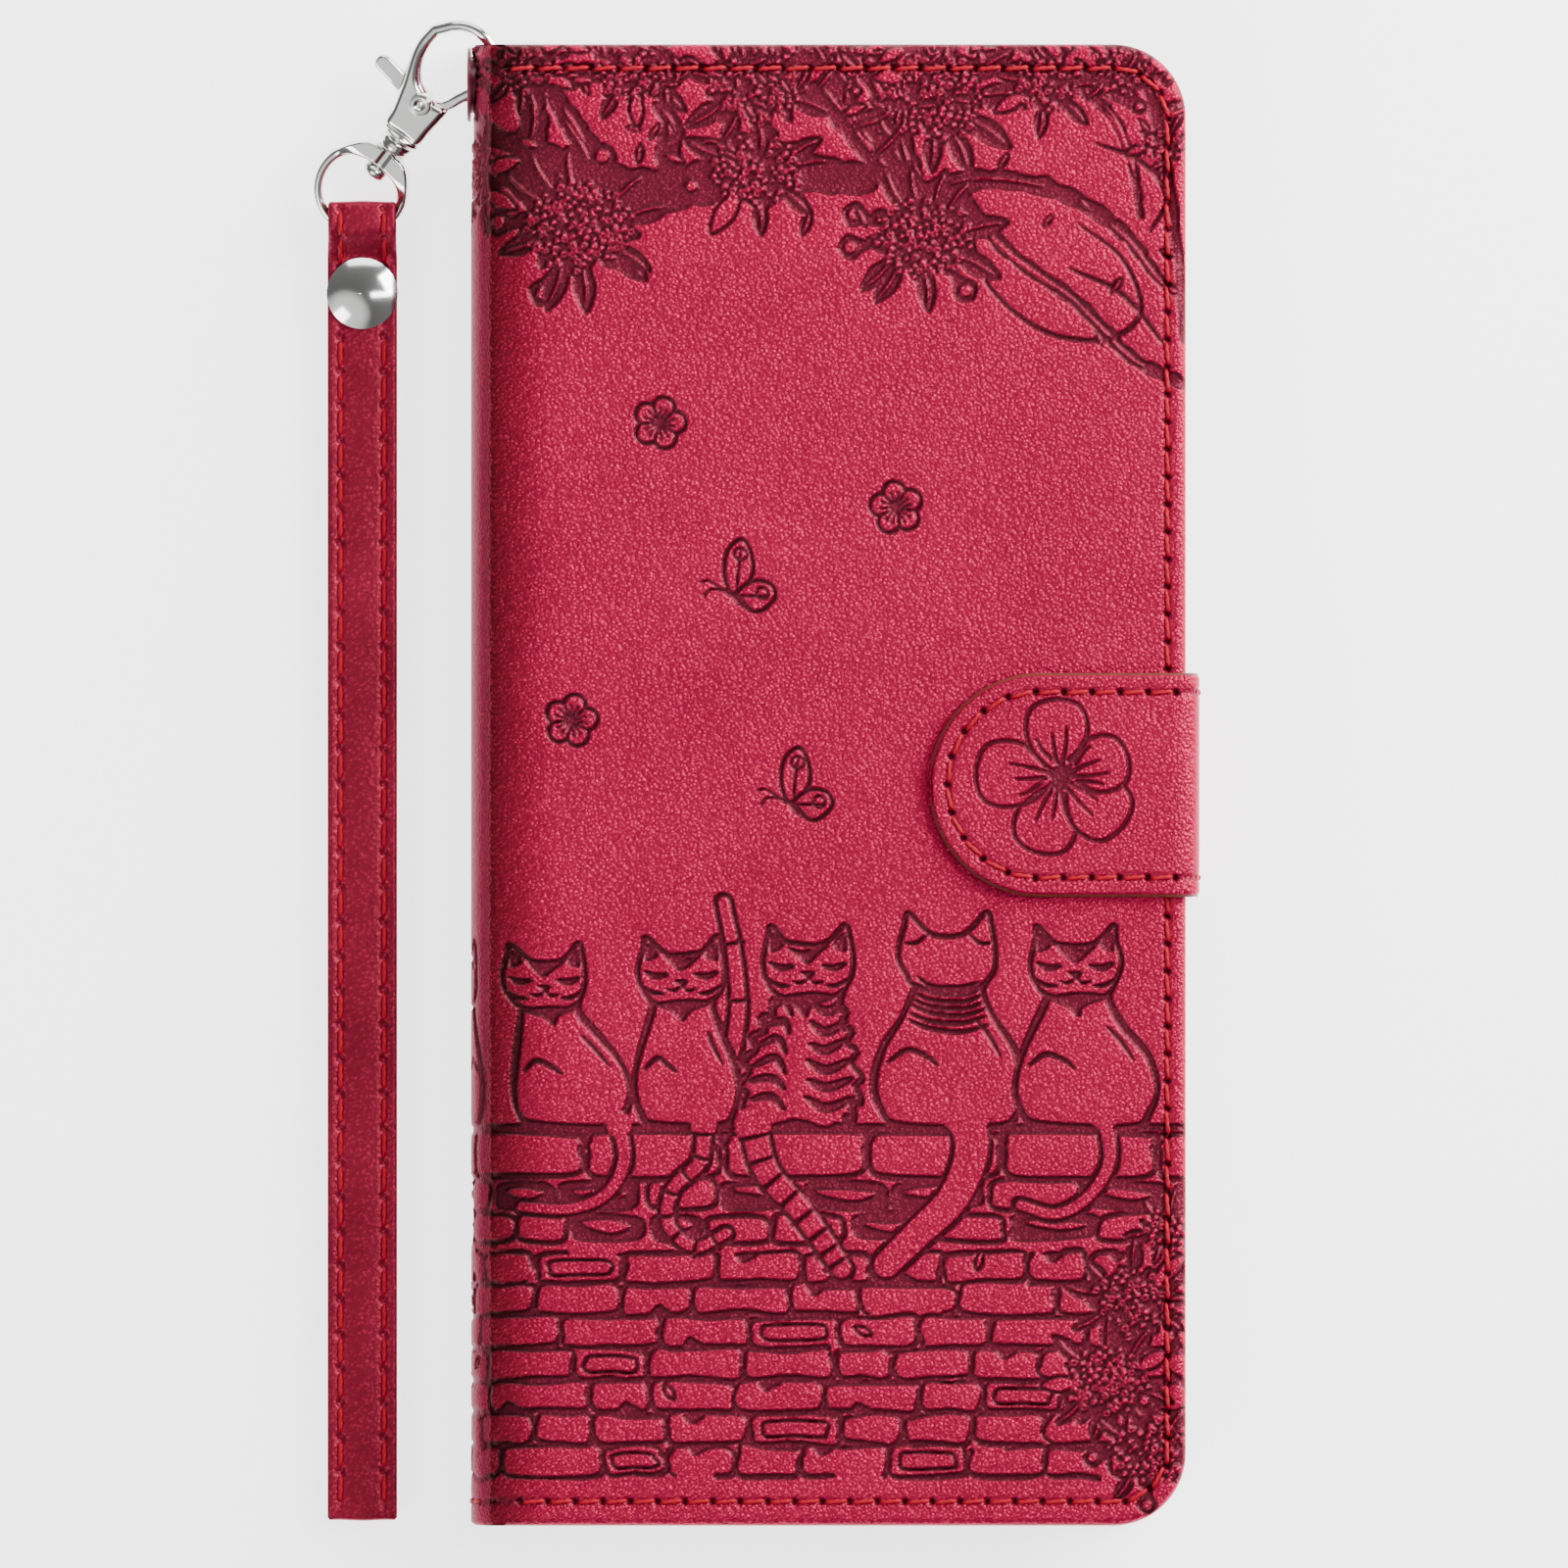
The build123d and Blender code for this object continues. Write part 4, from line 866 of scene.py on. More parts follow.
def leather_plan(wrap, span, reach, step, border):
    """Flat grid of quads inside a border, its loose points pulled onto the border."""
    u_from, u_to = span
    columns = max(int(np.ceil(abs(u_to - u_from) / step)) + 1, 3)
    rows = int(np.ceil((reach[1] - reach[0]) / step)) + 1
    u, y = np.meshgrid(np.linspace(u_from, u_to, columns), np.linspace(*reach, rows), indexing="ij")
    u, y = u.ravel(), y.ravel()
    quads = grid_faces(columns, rows, flip=(u_to < u_from) != wrap.swapped)
    quads = quads[border(u[quads].mean(1), y[quads].mean(1))[0] > 0]
    used = np.bincount(quads.ravel(), minlength=len(u))
    depth, out_u, out_y = border(u, y)
    loose = (used > 0) & (used < 4) & (depth < 1.5 * step)
    u = np.where(loose, u + out_u * depth, u)
    y = np.where(loose, y + out_y * depth, y)
    keep = np.flatnonzero(used)
    renumber = np.full(len(u), -1)
    renumber[keep] = np.arange(len(keep))
    return renumber[quads], u[keep], y[keep]


def leather(name, wrap, span, reach, step, border, canvas, levels, under, edge_round,
            flat_under=False, base=0.0):
    """Leather over part of a wrap: stamped face, turned or cut edges and an inner face.

    Each of the edge's levels is a distance inwards and a height. The faces come in three sections:
    the stamped face, the walls of the edges and the inner side.
    """
    quads, u, y = leather_plan(wrap, span, reach, step, border)
    depth, out_u, out_y = border(u, y)
    depth = np.maximum(depth, 0)
    height = base + sample(canvas, canvas.height, u, y) - edge_drop(depth, edge_round)
    points, faces, total = [wrap.point(u, y, height)], [quads], len(u)
    caps = []
    for ring in rings_of_edges(quads, len(u)):
        on_edge = depth[ring] < ON_EDGE
        previous = ring
        for inward, level in levels:
            shift = np.where(on_edge, inward, 0.0)
            low = np.where(on_edge, level, max(level, -under))
            points.append(wrap.point(u[ring] - out_u[ring] * shift, y[ring] - out_y[ring] * shift, low))
            current = total + np.arange(len(ring))
            total += len(ring)
            faces.append(wall_faces(previous, current))
            previous = current
        caps.append((ring, previous))
    if flat_under:
        faces.append(caps[0][1][None, ::-1])
    else:
        points.append(wrap.point(u, y, np.full(len(u), -under)))
        faces.append(quads[:, ::-1] + total)
        for ring, previous in caps:
            faces.append(wall_faces(previous, ring + total))
        total += len(u)
    # Per point: the stamp's colour with painted shade, and the painted crease and spine shade.
    rest = np.zeros(total - len(u))
    tones = {"ink": np.concatenate([sample(canvas, canvas.ink, u, y), rest]),
             "worn": np.concatenate([sample(canvas, canvas.worn, u, y), rest])}
    walls = len(levels) * len(caps)
    sections = [0] + [1] * walls + [2] + [1] * (len(faces) - walls - 2)
    return new_mesh(name, np.vstack(points), faces, tones, sections)


def make_stitches(name, places, ways, wrap, length=2.75, radius=0.25, slant=0.1):
    """Twisted thread stitches, each dipping into its needle holes."""
    around = np.linspace(0, 2 * np.pi, 13)[:-1]
    steps = np.linspace(-1, 1, 15)
    size = len(steps) * len(around)
    points, faces = [], []
    for number, (spot, way) in enumerate(zip(places, ways)):
        across = np.array([-way[1], way[0]])
        for s in steps:
            body = np.sqrt(max(1 - abs(s) ** 6, 0.02))
            twist = 1 + 0.16 * np.cos(2 * around + s * 9.0 + number)
            lift = -0.04 - 0.42 * abs(s) ** 4
            side = np.cos(around) * radius * body * twist
            up = np.sin(around) * radius * 0.8 * body * twist + lift
            flat = spot + way * (s * length / 2) + across * (slant * s * length / 2) + side[:, None] * across
            points.append(wrap.point(flat[:, 0], flat[:, 1], up))
        index = number * size + np.arange(size).reshape(len(steps), len(around))
        after = np.roll(index, -1, axis=1)
        faces.append(np.stack([index[:-1], after[:-1], after[1:], index[1:]], -1).reshape(-1, 4))
        for cap in (index[0][::-1], index[-1]):
            faces.append(np.stack([cap[[k, k + 1, 10 - k, 11 - k]] for k in range(5)]))
    return new_mesh(name, np.vstack(points), np.vstack(faces))


# ------------------------------------------------------------------ materials
def node_material(name):
    """New material with its shader and a link helper."""
    material = bpy.data.materials.new(name)
    material.use_nodes = True
    tree = material.node_tree
    return material, tree, tree.nodes["Principled BSDF"]


def add_node(tree, kind, settings=(), links=()):
    """Node with its inputs set or linked; each entry is an input and a value or an output."""
    node = tree.nodes.new(kind)
    for key, value in settings:
        if isinstance(key, str) and key not in node.inputs:
            setattr(node, key, value)
        else:
            node.inputs[key].default_value = value
    for key, output in links:
        tree.links.new(output, node.inputs[key])
    return node


def set_shader(shader, settings):
    """Constant values of a shader, set on its sockets."""
    for key, value in settings.items():
        shader.inputs[key].default_value = value


def ramp_node(tree, factor, stops):
    """Colour that follows a factor through its stops."""
    node = add_node(tree, "ShaderNodeValToRGB", (), [("Fac", factor)])
    while len(node.color_ramp.elements) < len(stops):
        node.color_ramp.elements.new(0.5)
    for element, (place_at, colour) in zip(node.color_ramp.elements, stops):
        element.position = place_at
        element.color = (*colour, 1)
    return node.outputs["Color"]


def multiply_colour(tree, first, second):
    """One colour shaded by another."""
    mixed = add_node(tree, "ShaderNodeMix", [("data_type", "RGBA"), ("blend_type", "MULTIPLY")])
    mixed.inputs[0].default_value = 1.0
    tree.links.new(first, mixed.inputs[6])
    tree.links.new(second, mixed.inputs[7])
    return mixed.outputs[2]


def bump_node(tree, height, strength, depth_mm):
    """Fine relief from a height."""
    settings = [("Strength", strength), ("Distance", depth_mm * MM)]
    return add_node(tree, "ShaderNodeBump", settings, [("Height", height)])


def leather_material(name, stops, roughness, grain_mm=0.38, strength=0.8, stamped=True, pearl=0.5, coat=0.04):
    """Pearly coated leather: stamping and painted shade set the colour, pebbled grain the fine relief."""
    material, tree, shader = node_material(name)
    set_shader(shader, {
        "Roughness": roughness, "Coat Weight": coat, "Coat Roughness": 0.25, "Metallic": pearl,
        "Specular IOR Level": 0.35, "Specular Tint": (0.9, 0.42, 0.5, 1),
    })
    place_at = [("Vector", add_node(tree, "ShaderNodeTexCoord").outputs["Object"])]
    mottle = add_node(tree, "ShaderNodeTexNoise", [("Scale", 60.0), ("Detail", 5.0)], place_at).outputs[0]
    cells = add_node(tree, "ShaderNodeTexVoronoi", [("Scale", 1000 / grain_mm)], place_at)
    fine = add_node(tree, "ShaderNodeTexNoise", [("Scale", 2600.0), ("Detail", 2.0)], place_at)
    grain = add_node(tree, "ShaderNodeMath", [("operation", "MULTIPLY_ADD"), (1, -1.1)],
                     [(0, cells.outputs["Distance"]), (2, fine.outputs[0])]).outputs[0]
    bump = bump_node(tree, grain, strength, 0.13)
    if stamped:
        # Vertex attributes: the stamp's colour with painted shade, and painted shade at the creases and spine.
        ink = add_node(tree, "ShaderNodeAttribute", [("attribute_name", "ink")]).outputs["Fac"]
        worn = add_node(tree, "ShaderNodeAttribute", [("attribute_name", "worn")]).outputs["Fac"]
        colour = multiply_colour(tree, ramp_node(tree, ink, stops), ramp_node(tree, worn, CREASE_SPINE_SHADE_RAMP))
        less_grain = [("operation", "MULTIPLY_ADD"), (1, -0.8 * strength), (2, strength)]
        fade = add_node(tree, "ShaderNodeMath", less_grain, [(0, ink)])
        tree.links.new(fade.outputs[0], bump.inputs["Strength"])
        # The crease and spine shade attribute also raises the metallic sheen there.
        more_shine = [("operation", "MULTIPLY_ADD"), (1, 0.9 - pearl), (2, pearl)]
        gloss = add_node(tree, "ShaderNodeMath", more_shine, [(0, worn)])
        tree.links.new(gloss.outputs[0], shader.inputs["Metallic"])
    else:
        colour = ramp_node(tree, mottle, stops)
    for factor, low, high, dark in ((mottle, 0.3, 0.7, 0.84), (grain, -0.1, 0.45, 0.55)):
        shade = ramp_node(tree, factor, [(low, (dark, dark, dark)), (high, (1, 1, 1))])
        colour = multiply_colour(tree, colour, shade)
    tree.links.new(colour, shader.inputs["Base Color"])
    tree.links.new(bump.outputs["Normal"], shader.inputs["Normal"])
    return material


def plain_material(name, colour, roughness, metallic=0.0, grain=0.0, scale=900.0, extra=None):
    """One finish with a fine surface texture."""
    material, tree, shader = node_material(name)
    set_shader(shader, {"Base Color": (*colour, 1), "Roughness": roughness, "Metallic": metallic})
    set_shader(shader, extra or {})
    if grain:
        place_at = [("Vector", add_node(tree, "ShaderNodeTexCoord").outputs["Object"])]
        noise = add_node(tree, "ShaderNodeTexNoise", [("Scale", scale), ("Detail", 4.0)], place_at)
        bump = bump_node(tree, noise.outputs[0], grain, 0.04)
        tree.links.new(bump.outputs["Normal"], shader.inputs["Normal"])
    return material


# The darkest stop is painted shade in stamp rims, needle holes and creases; CRIMSON and WINE are the leather's and
# the stamping's own colours.
CRIMSON = (0.64, 0.008, 0.078)
WINE = (0.23, 0.014, 0.042)
DEEP_SHADE = (0.04, 0.002, 0.006)
# Painted shade that tints and darkens the leather near the creases and over the spine.
CREASE_SPINE_SHADE_RAMP = [(0.0, (1, 1, 1)), (0.35, (0.6, 0.45, 0.42)), (1.0, (0.34, 1.0, 0.5))]
STAMP_AND_SHADE_TONES = [(0.0, CRIMSON), (0.4, (0.29, 0.012, 0.042)), (0.52, WINE), (0.95, DEEP_SHADE)]
outer_leather = leather_material("outer_leather", STAMP_AND_SHADE_TONES, 0.37)
STRAP_TONES = [(0.35, (0.40, 0.014, 0.05)), (0.65, (0.52, 0.02, 0.07))]
LINING_TONES = [(0.35, (0.2, 0.010, 0.024)), (0.65, (0.26, 0.013, 0.03))]
POCKET_TONES = [(0.35, (0.32, 0.012, 0.036)), (0.65, (0.40, 0.014, 0.044))]
strap_leather = leather_material("strap_leather", STRAP_TONES, 0.4, 0.5, 0.35, stamped=False)
edge_paint = plain_material("edge_paint", (0.14, 0.022, 0.014), 0.5, grain=0.4)
lining_leather = leather_material("lining", LINING_TONES, 0.62, 0.45, 0.3, stamped=False, pearl=0.0, coat=0.0)
pocket_leather = leather_material("pocket_leather", POCKET_TONES, 0.48, 0.5, 0.4, stamped=False, pearl=0.2,
                                  coat=0.05)
thread = plain_material("thread", (0.36, 0.0008, 0.014), 0.55, grain=0.5, scale=3000.0,
                        extra={"Specular IOR Level": 0.2})
steel = plain_material("plated_steel", (0.80, 0.79, 0.78), 0.13, 1.0, grain=0.08, scale=500.0)
spring_steel = plain_material("spring_steel", (0.5, 0.5, 0.5), 0.3, 1.0)
magnet_steel = plain_material("magnet_steel", (0.45, 0.45, 0.46), 0.35, 1.0)
lacquered_metal = plain_material("lacquered_metal", (0.22, 0.006, 0.035), 0.3)
shell_plastic = plain_material("shell_plastic", (0.012, 0.012, 0.014), 0.42, grain=0.25, scale=700.0)
board_card = plain_material("board_card", (0.36, 0.30, 0.23), 0.85, grain=0.6)
glue = plain_material("glue", (0.7, 0.66, 0.55), 0.4)


def paint(node_name, material, bevel_mm):
    """Give a CAD node its finish and, if the bevel isn't zero, softened edges."""
    node = bpy.data.objects[node_name]
    node.data.materials.clear()
    node.data.materials.append(material)
    if bevel_mm:
        bevel = node.modifiers.new("soft_edges", "BEVEL")
        bevel.width = bevel_mm * MM
        bevel.segments = 3
        bevel.limit_method = "ANGLE"
        bevel.angle_limit = 0.6


# ------------------------------------------------------------------ cover leather
cover_art = Canvas((U_LOW - 1, -HALF_LENGTH - 1), (U_HIGH + 1, HALF_LENGTH + 1), ART_STEP)
draw_wall(cover_art, U_LOW, U_HIGH)
draw_ledge(cover_art, U_LOW, U_HIGH)
draw_scene_on_cover(cover_art, 0.0)
draw_scene_on_cover(cover_art, BACK_SHIFT, mirror=True)
stitch_spots, stitch_ways = sew(cover_art, seam_path(), STITCH_PITCH)
finish_canvas(cover_art)


def crease_cover(art):
    """Sink the leather at both creases and over the spine between them, and paint shade there: darker near the
    creases, darker, browner and glossier over the spine.
    """
    for crease, way in ((UPPER_CREASE, 1), (LOWER_CREASE, -1)):
        side = (art.x - crease) * way
        near_fold = np.exp(-(side / np.where(side > 0, 3.6, 1.6)) ** 2)[:, None]
        art.height *= 1 - 0.5 * near_fold
        art.height -= 0.22 * near_fold
        # Painted shade that darkens the colour beside each crease; in part it is the bent leather's own darker tone.
        shade = 0.3 * np.exp(-(side / np.where(side > 0, 4.6, 1.4)) ** 2)[:, None]
        art.ink = np.clip(art.ink + shade, 0, 1)
        art.worn = np.maximum(art.worn, shade)
    # Painted shade over the spine, which faces sideways: darker and browner colour.
    on_spine = np.clip((UPPER_CREASE + 0.4 - art.x) / 1.4, 0, 1)
    on_spine = (on_spine * np.clip((art.x - LOWER_CREASE + 0.4) / 1.4, 0, 1))[:, None]
    art.worn = np.maximum(art.worn, on_spine)
    art.height *= 1 - 0.35 * on_spine


crease_cover(cover_art)
EYELET_LOW, EYELET_HIGH = box_mm("eyelet")
EYELET_Y = (EYELET_LOW[1] + EYELET_HIGH[1]) / 2
EYELET_HOLE = 3.35
CAMERA_X, CAMERA_Y, CAMERA_WIDTH, CAMERA_LENGTH, CAMERA_CORNER = 21.0, 60.0, 26.0, 30.0, 6.0
eyelet_hole = hole_border((U_MIDDLE, EYELET_Y), (EYELET_HOLE, EYELET_HOLE), EYELET_HOLE)
camera_at, camera_half = (BACK_SHIFT - CAMERA_X, CAMERA_Y), (CAMERA_WIDTH / 2, CAMERA_LENGTH / 2)
camera_hole = hole_border(camera_at, camera_half, CAMERA_CORNER)
ends = end_border(HALF_LENGTH)
TURN_IN = 1.15                # how far a turned edge reaches under the board
TURNED = [(0.0, -EDGE_ROUND - 0.35), (0.08, -SKIN_DEPTH + 0.4), (0.4, -SKIN_DEPTH), (TURN_IN, -SKIN_DEPTH)]
TURNED += [(TURN_IN, -LEATHER)]
CUT = [(0.0, -0.45), (0.12, -LEATHER)]
CUT_ROUND = 0.5


def cover_leather(name, start, end, border, levels=CUT, edge_round=CUT_ROUND, step=REST_STEP, flat_under=False):
    """Full-length strip of the cover's leather between two places along its section."""
    length_reach = (-HALF_LENGTH, HALF_LENGTH)
    return leather(name, COVER, (start, end), length_reach, step, border, cover_art, levels, LEATHER, edge_round,
                   flat_under)


UPPER_OUT, UPPER_IN = UPPER_CREASE + CREASE_STRIP, UPPER_CREASE - CREASE_STRIP
LOWER_OUT, LOWER_IN = LOWER_CREASE - CREASE_STRIP, LOWER_CREASE + CREASE_STRIP
front = cover_leather("front_cover_leather", EDGE_X, UPPER_OUT, outline_depth, TURNED, EDGE_ROUND, GRID, True)
back_border = join_edges(outline_depth, camera_hole)
back = cover_leather("back_cover_leather", U_LOW, LOWER_OUT, back_border, TURNED, EDGE_ROUND)
spine = cover_leather("spine_leather", UPPER_IN, LOWER_IN, join_edges(ends, eyelet_hole))
upper_fold = cover_leather("upper_fold_leather", UPPER_OUT, UPPER_IN, ends)
lower_fold = cover_leather("lower_fold_leather", LOWER_IN, LOWER_OUT, ends)


def finish_leather(piece, face, edge, inside):
    """Finishes of a leather piece's face, edge and inner side."""
    for material in (face, edge, inside):
        piece.data.materials.append(material)


for piece in (front, back, upper_fold, lower_fold):
    finish_leather(piece, outer_leather, outer_leather, lining_leather)
finish_leather(spine, outer_leather, outer_leather, lining_leather)
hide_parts("front_outer_leather")
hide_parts("back_outer_leather")
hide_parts("spine_outer_leather")
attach(front, "front_cover")
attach(back, "back_cover")
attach(spine, "spine")


def cover_metres(u):
    """Place in space, in metres, of a point on the middle of the cover's face."""
    point = COVER.point(np.array([u]), np.array([0.0]), np.array([0.0]))[0]
    return tuple(float(v) * MM for v in point)


cover_metres(UPPER_IN)
cover_metres(UPPER_OUT)
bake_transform(upper_fold)
cover_metres(LOWER_OUT)
cover_metres(LOWER_IN)
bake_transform(lower_fold)


def add_stitches(name, spots, ways, wrap, body, node, **sizes):
    """Thread of one seam that belongs to one body."""
    piece = make_stitches(name, spots, ways, wrap, **sizes)
    piece.data.materials.append(thread)
    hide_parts(node)
    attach(piece, body)


STITCH_CLEAR = CREASE_STRIP + 1.3
EYELET_CLEAR = 5.5
stitch_u = stitch_spots[:, 0]
on_front = stitch_u > UPPER_CREASE + STITCH_CLEAR
on_back = stitch_u < LOWER_CREASE - STITCH_CLEAR
on_spine = (stitch_u < UPPER_CREASE - STITCH_CLEAR) & (stitch_u > LOWER_CREASE + STITCH_CLEAR)
on_spine &= (np.abs(stitch_u - U_MIDDLE) >= EYELET_CLEAR) | (stitch_spots[:, 1] <= 0)
for name, chosen, body, node in (
    ("front_cover_stitches", on_front, "front_cover", "front_stitching"),
    ("back_cover_stitches", on_back, "back_cover", "back_stitching"),
    ("spine_stitches", on_spine, "spine", "spine_stitching"),
):
    add_stitches(name, stitch_spots[chosen], stitch_ways[chosen], COVER, body, node)

# ------------------------------------------------------------------ clasp
CLASP_HALF = (TAB_HIGH[1] - TAB_LOW[1]) / 2
TAB_Z = TAB_HIGH[2]
TAB_LEATHER = TAB_HIGH[2] - TAB_LOW[2]
TAB_CENTRE = TAB_LOW[0] + CLASP_HALF
BASE_Z = box_mm("clasp_base_leather")[0][2]
clasp_x = np.array([TAB_LOW[0], SIDE_X, SIDE_X, EDGE_X - 0.3])
CLASP = Wrap(clasp_x, np.array([TAB_Z, TAB_Z, BASE_Z, BASE_Z]), TAB_LOW[0], 1, soften=4.0)
U_FOLD = 39.9                 # where the tab's fold begins, along the clasp
SIDE_TOP_Z, SIDE_LOW_Z = 16.6, 3.1
U_SIDE = SIDE_X + TAB_Z - SIDE_TOP_Z
U_SIDE_END = SIDE_X + TAB_Z - SIDE_LOW_Z
U_END = TAB_LOW[0] + CLASP.length
CLASP_SEAM_INSET = 1.9
CLASP_ROUND = 0.35
# Strength of the painted shade at the rims of the clasp's stamping.
CLASP_RIM_SHADE = 0.22
SIDE_LEATHER, BASE_LEATHER = 1.1, 1.0
FLOWER_AT, FLOWER_SIZE = (25.9, 0.9), 8.7
CLASP_LINING = 0.5
CLASP_CUT = [(-0.2, -0.42), (-0.28, -0.7), (0.0, -TAB_LEATHER)]
CLASP_GRID = 0.13
clasp_art = Canvas((TAB_LOW[0] - 1, -CLASP_HALF - 1), (U_END + 1, CLASP_HALF + 1), 0.12)
draw_big_flower(clasp_art, FLOWER_AT, FLOWER_SIZE)
seam_reach = CLASP_HALF - CLASP_SEAM_INSET
tip_arc = arc(seam_reach, 90, 270, (TAB_CENTRE, 0), 40)
clasp_seam = np.vstack([[(U_SIDE_END, seam_reach)], tip_arc, [(U_SIDE_END, -seam_reach)]])
clasp_spots, clasp_ways = sew(clasp_art, clasp_seam, STITCH_PITCH)
finish_canvas(clasp_art, CLASP_RIM_SHADE)


def clasp_leather(name, start, end, border, thickness, step=0.2):
    """Full-width stretch of the clasp between two places along it."""
    width_reach = (-CLASP_HALF, CLASP_HALF)
    return leather(name, CLASP, (start, end), width_reach, step, border, clasp_art, CLASP_CUT, thickness, CLASP_ROUND)


sides = end_border(CLASP_HALF)
tip = tab_border(TAB_CENTRE, CLASP_HALF)
clasp_tab = clasp_leather("clasp_tab_face", TAB_LOW[0], U_FOLD, tip, TAB_LEATHER, CLASP_GRID)
clasp_upper = clasp_leather("clasp_upper_fold", U_FOLD, U_SIDE, sides, SIDE_LEATHER)
clasp_side = clasp_leather("clasp_side_face", U_SIDE, U_SIDE_END, sides, SIDE_LEATHER)
clasp_lower = clasp_leather("clasp_lower_fold", U_SIDE_END, U_END, sides, BASE_LEATHER)
for piece in (clasp_tab, clasp_upper, clasp_side, clasp_lower):
    finish_leather(piece, outer_leather, edge_paint, lining_leather)
inner_half = CLASP_HALF - 0.2
plain = finish_canvas(Canvas(clasp_art.low, (U_END + 1, CLASP_HALF + 1), 1.0))
clasp_inner = leather("clasp_tab_inner", CLASP, (TAB_LOW[0] + 0.2, U_FOLD), (-inner_half, inner_half), 0.3,
                      tab_border(TAB_CENTRE, inner_half), plain, [(0.05, -TAB_LEATHER - CLASP_LINING)],
                      TAB_LEATHER + CLASP_LINING, 0.1, base=-TAB_LEATHER)
finish_leather(clasp_inner, lining_leather, edge_paint, lining_leather)
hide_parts("clasp_tab_lining")
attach(clasp_inner, "clasp_tab")
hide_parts("clasp_tab_leather")
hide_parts("clasp_side_leather")
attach(clasp_tab, "clasp_tab")
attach(clasp_side, "clasp_side")
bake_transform(clasp_upper)
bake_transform(clasp_lower)


for name, chosen, body, node in (
    ("clasp_tab_stitches", clasp_spots[:, 0] < U_FOLD - 1.2, "clasp_tab", "clasp_tab_stitching"),
    ("clasp_side_stitches", clasp_spots[:, 0] > U_SIDE + 1.0, "clasp_side", "clasp_side_stitching"),
):
    add_stitches(name, clasp_spots[chosen], clasp_ways[chosen], CLASP, body, node)

# ------------------------------------------------------------------ wrist strap
STRAP_X = (STRAP_LOW[0] + STRAP_HIGH[0]) / 2
STRAP_HALF = (STRAP_HIGH[0] - STRAP_LOW[0]) / 2
STRAP_BED = STRAP_LOW[2]
STRAP_TOP = 3.9
STRAP_RISE = 59.35            # where the strap climbs to the ring
STRAP_PITCH = 3.85
RIVET_Y = 55.3
RIVET_CLEAR = 4.6
y_end, y_tip, crown = STRAP_LOW[1], STRAP_HIGH[1], STRAP_HIGH[2]
climb_end = STRAP_RISE + crown - STRAP_TOP
strap_side = [(y_end, STRAP_TOP), (STRAP_RISE, STRAP_TOP), (climb_end, crown), (y_tip, crown)]
strap_side += [(y_tip, STRAP_BED), (y_end, STRAP_BED), (y_end, STRAP_TOP)]
strap_along, strap_up = np.array(strap_side).T
STRAP = Wrap(strap_along, strap_up, y_end, 1, soften=1.3, closed=True, shift=STRAP_X, swapped=True)
strap_art = Canvas((y_end - 1, -STRAP_HALF - 1), (y_end + STRAP.length + 1, STRAP_HALF + 1), 0.15)
seam_y = STRAP_HALF - 1.45
rows = [np.array([(y_end + 1.5, y), (STRAP_RISE + 6.4, y)]) for y in (-seam_y, seam_y)]
seams = [sew(strap_art, row, STRAP_PITCH) for row in rows]
strap_spots, strap_ways = (np.vstack(parts) for parts in zip(*seams))
off_rivet = np.abs(strap_spots[:, 0] - RIVET_Y) > RIVET_CLEAR


def press_crease(points, width, amount, spread):
    """Soft wrinkle across the strap."""
    view, away = strap_art.reach(smooth(points), width)
    strap_art.seam[view] = np.maximum(strap_art.seam[view], amount * np.exp(-(away / spread) ** 2))


for number in range(26):
    side = rng.uniform(-3.2, 3.2)
    start = STRAP_RISE + rng.uniform(-1.0, 3.0)
    crease = [(start, side), (start + 1.3, side + rng.uniform(-0.3, 0.3)), (start + 2.8, side)]
    press_crease(crease, 0.2, 0.5, 0.3)
for number in range(60):
    where = rng.choice([y_end + rng.uniform(0, 16), 50 - rng.uniform(0, 22), rng.uniform(y_end, 50)])
    side = rng.uniform(-2.6, 2.6)
    middle, last = where + rng.uniform(-0.5, 0.5), where + rng.uniform(-0.3, 0.3)
    press_crease([(where, side - 0.9), (middle, side), (last, side + 1)], 0.12, 0.35, 0.2)
finish_canvas(strap_art)
strap_art.height += (0.1 * np.cos(strap_art.y / STRAP_HALF * 2.2) ** 2)[None, :] - 0.1


def strap_border(u, y):
    """The strap narrows where it goes through the ring."""
    along = STRAP.at(u - y_end)[0]
    half = STRAP_HALF - 0.08 * np.clip((along - STRAP_RISE) / 1.6, 0, 1)
    return half - np.abs(y), u * 0, np.sign(y)


STRAP_LEATHER = 0.8
STRAP_GRID = 0.26
strap = leather("wrist_strap_leather", STRAP, (y_end, y_end + STRAP.length), (-STRAP_HALF, STRAP_HALF), STRAP_GRID,
                strap_border, strap_art, [(0.0, -0.35), (0.05, -STRAP_LEATHER)], STRAP_LEATHER, 0.3)
finish_leather(strap, strap_leather, edge_paint, lining_leather)
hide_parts("strap_outer_leather")
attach(strap, "wrist_strap")
add_stitches("wrist_strap_stitches", strap_spots[off_rivet], strap_ways[off_rivet], STRAP, "wrist_strap",
             "strap_stitching", length=3.1, radius=0.27, slant=0.0)

# ------------------------------------------------------------------ hook and ring
HOOK_LOOP = np.array([-41.5, 81.3])     # middle of the hook's loop, seen from above
RING_AT = np.array([-52.6, 67.0, 4.05])
HOOK_TILT = np.radians(14)
LOOP_RADIUS = 4.15
WIRE = 1.3
GATE_WIRE = 1.35
RING_RADIUS = 4.85
RING_WIRE = 1.1
RIVET_AT = (6.35, -0.5)
RIVET_LEVEL = 1.28
WHOLE_PLAN = 60               # margin that takes in a whole casting

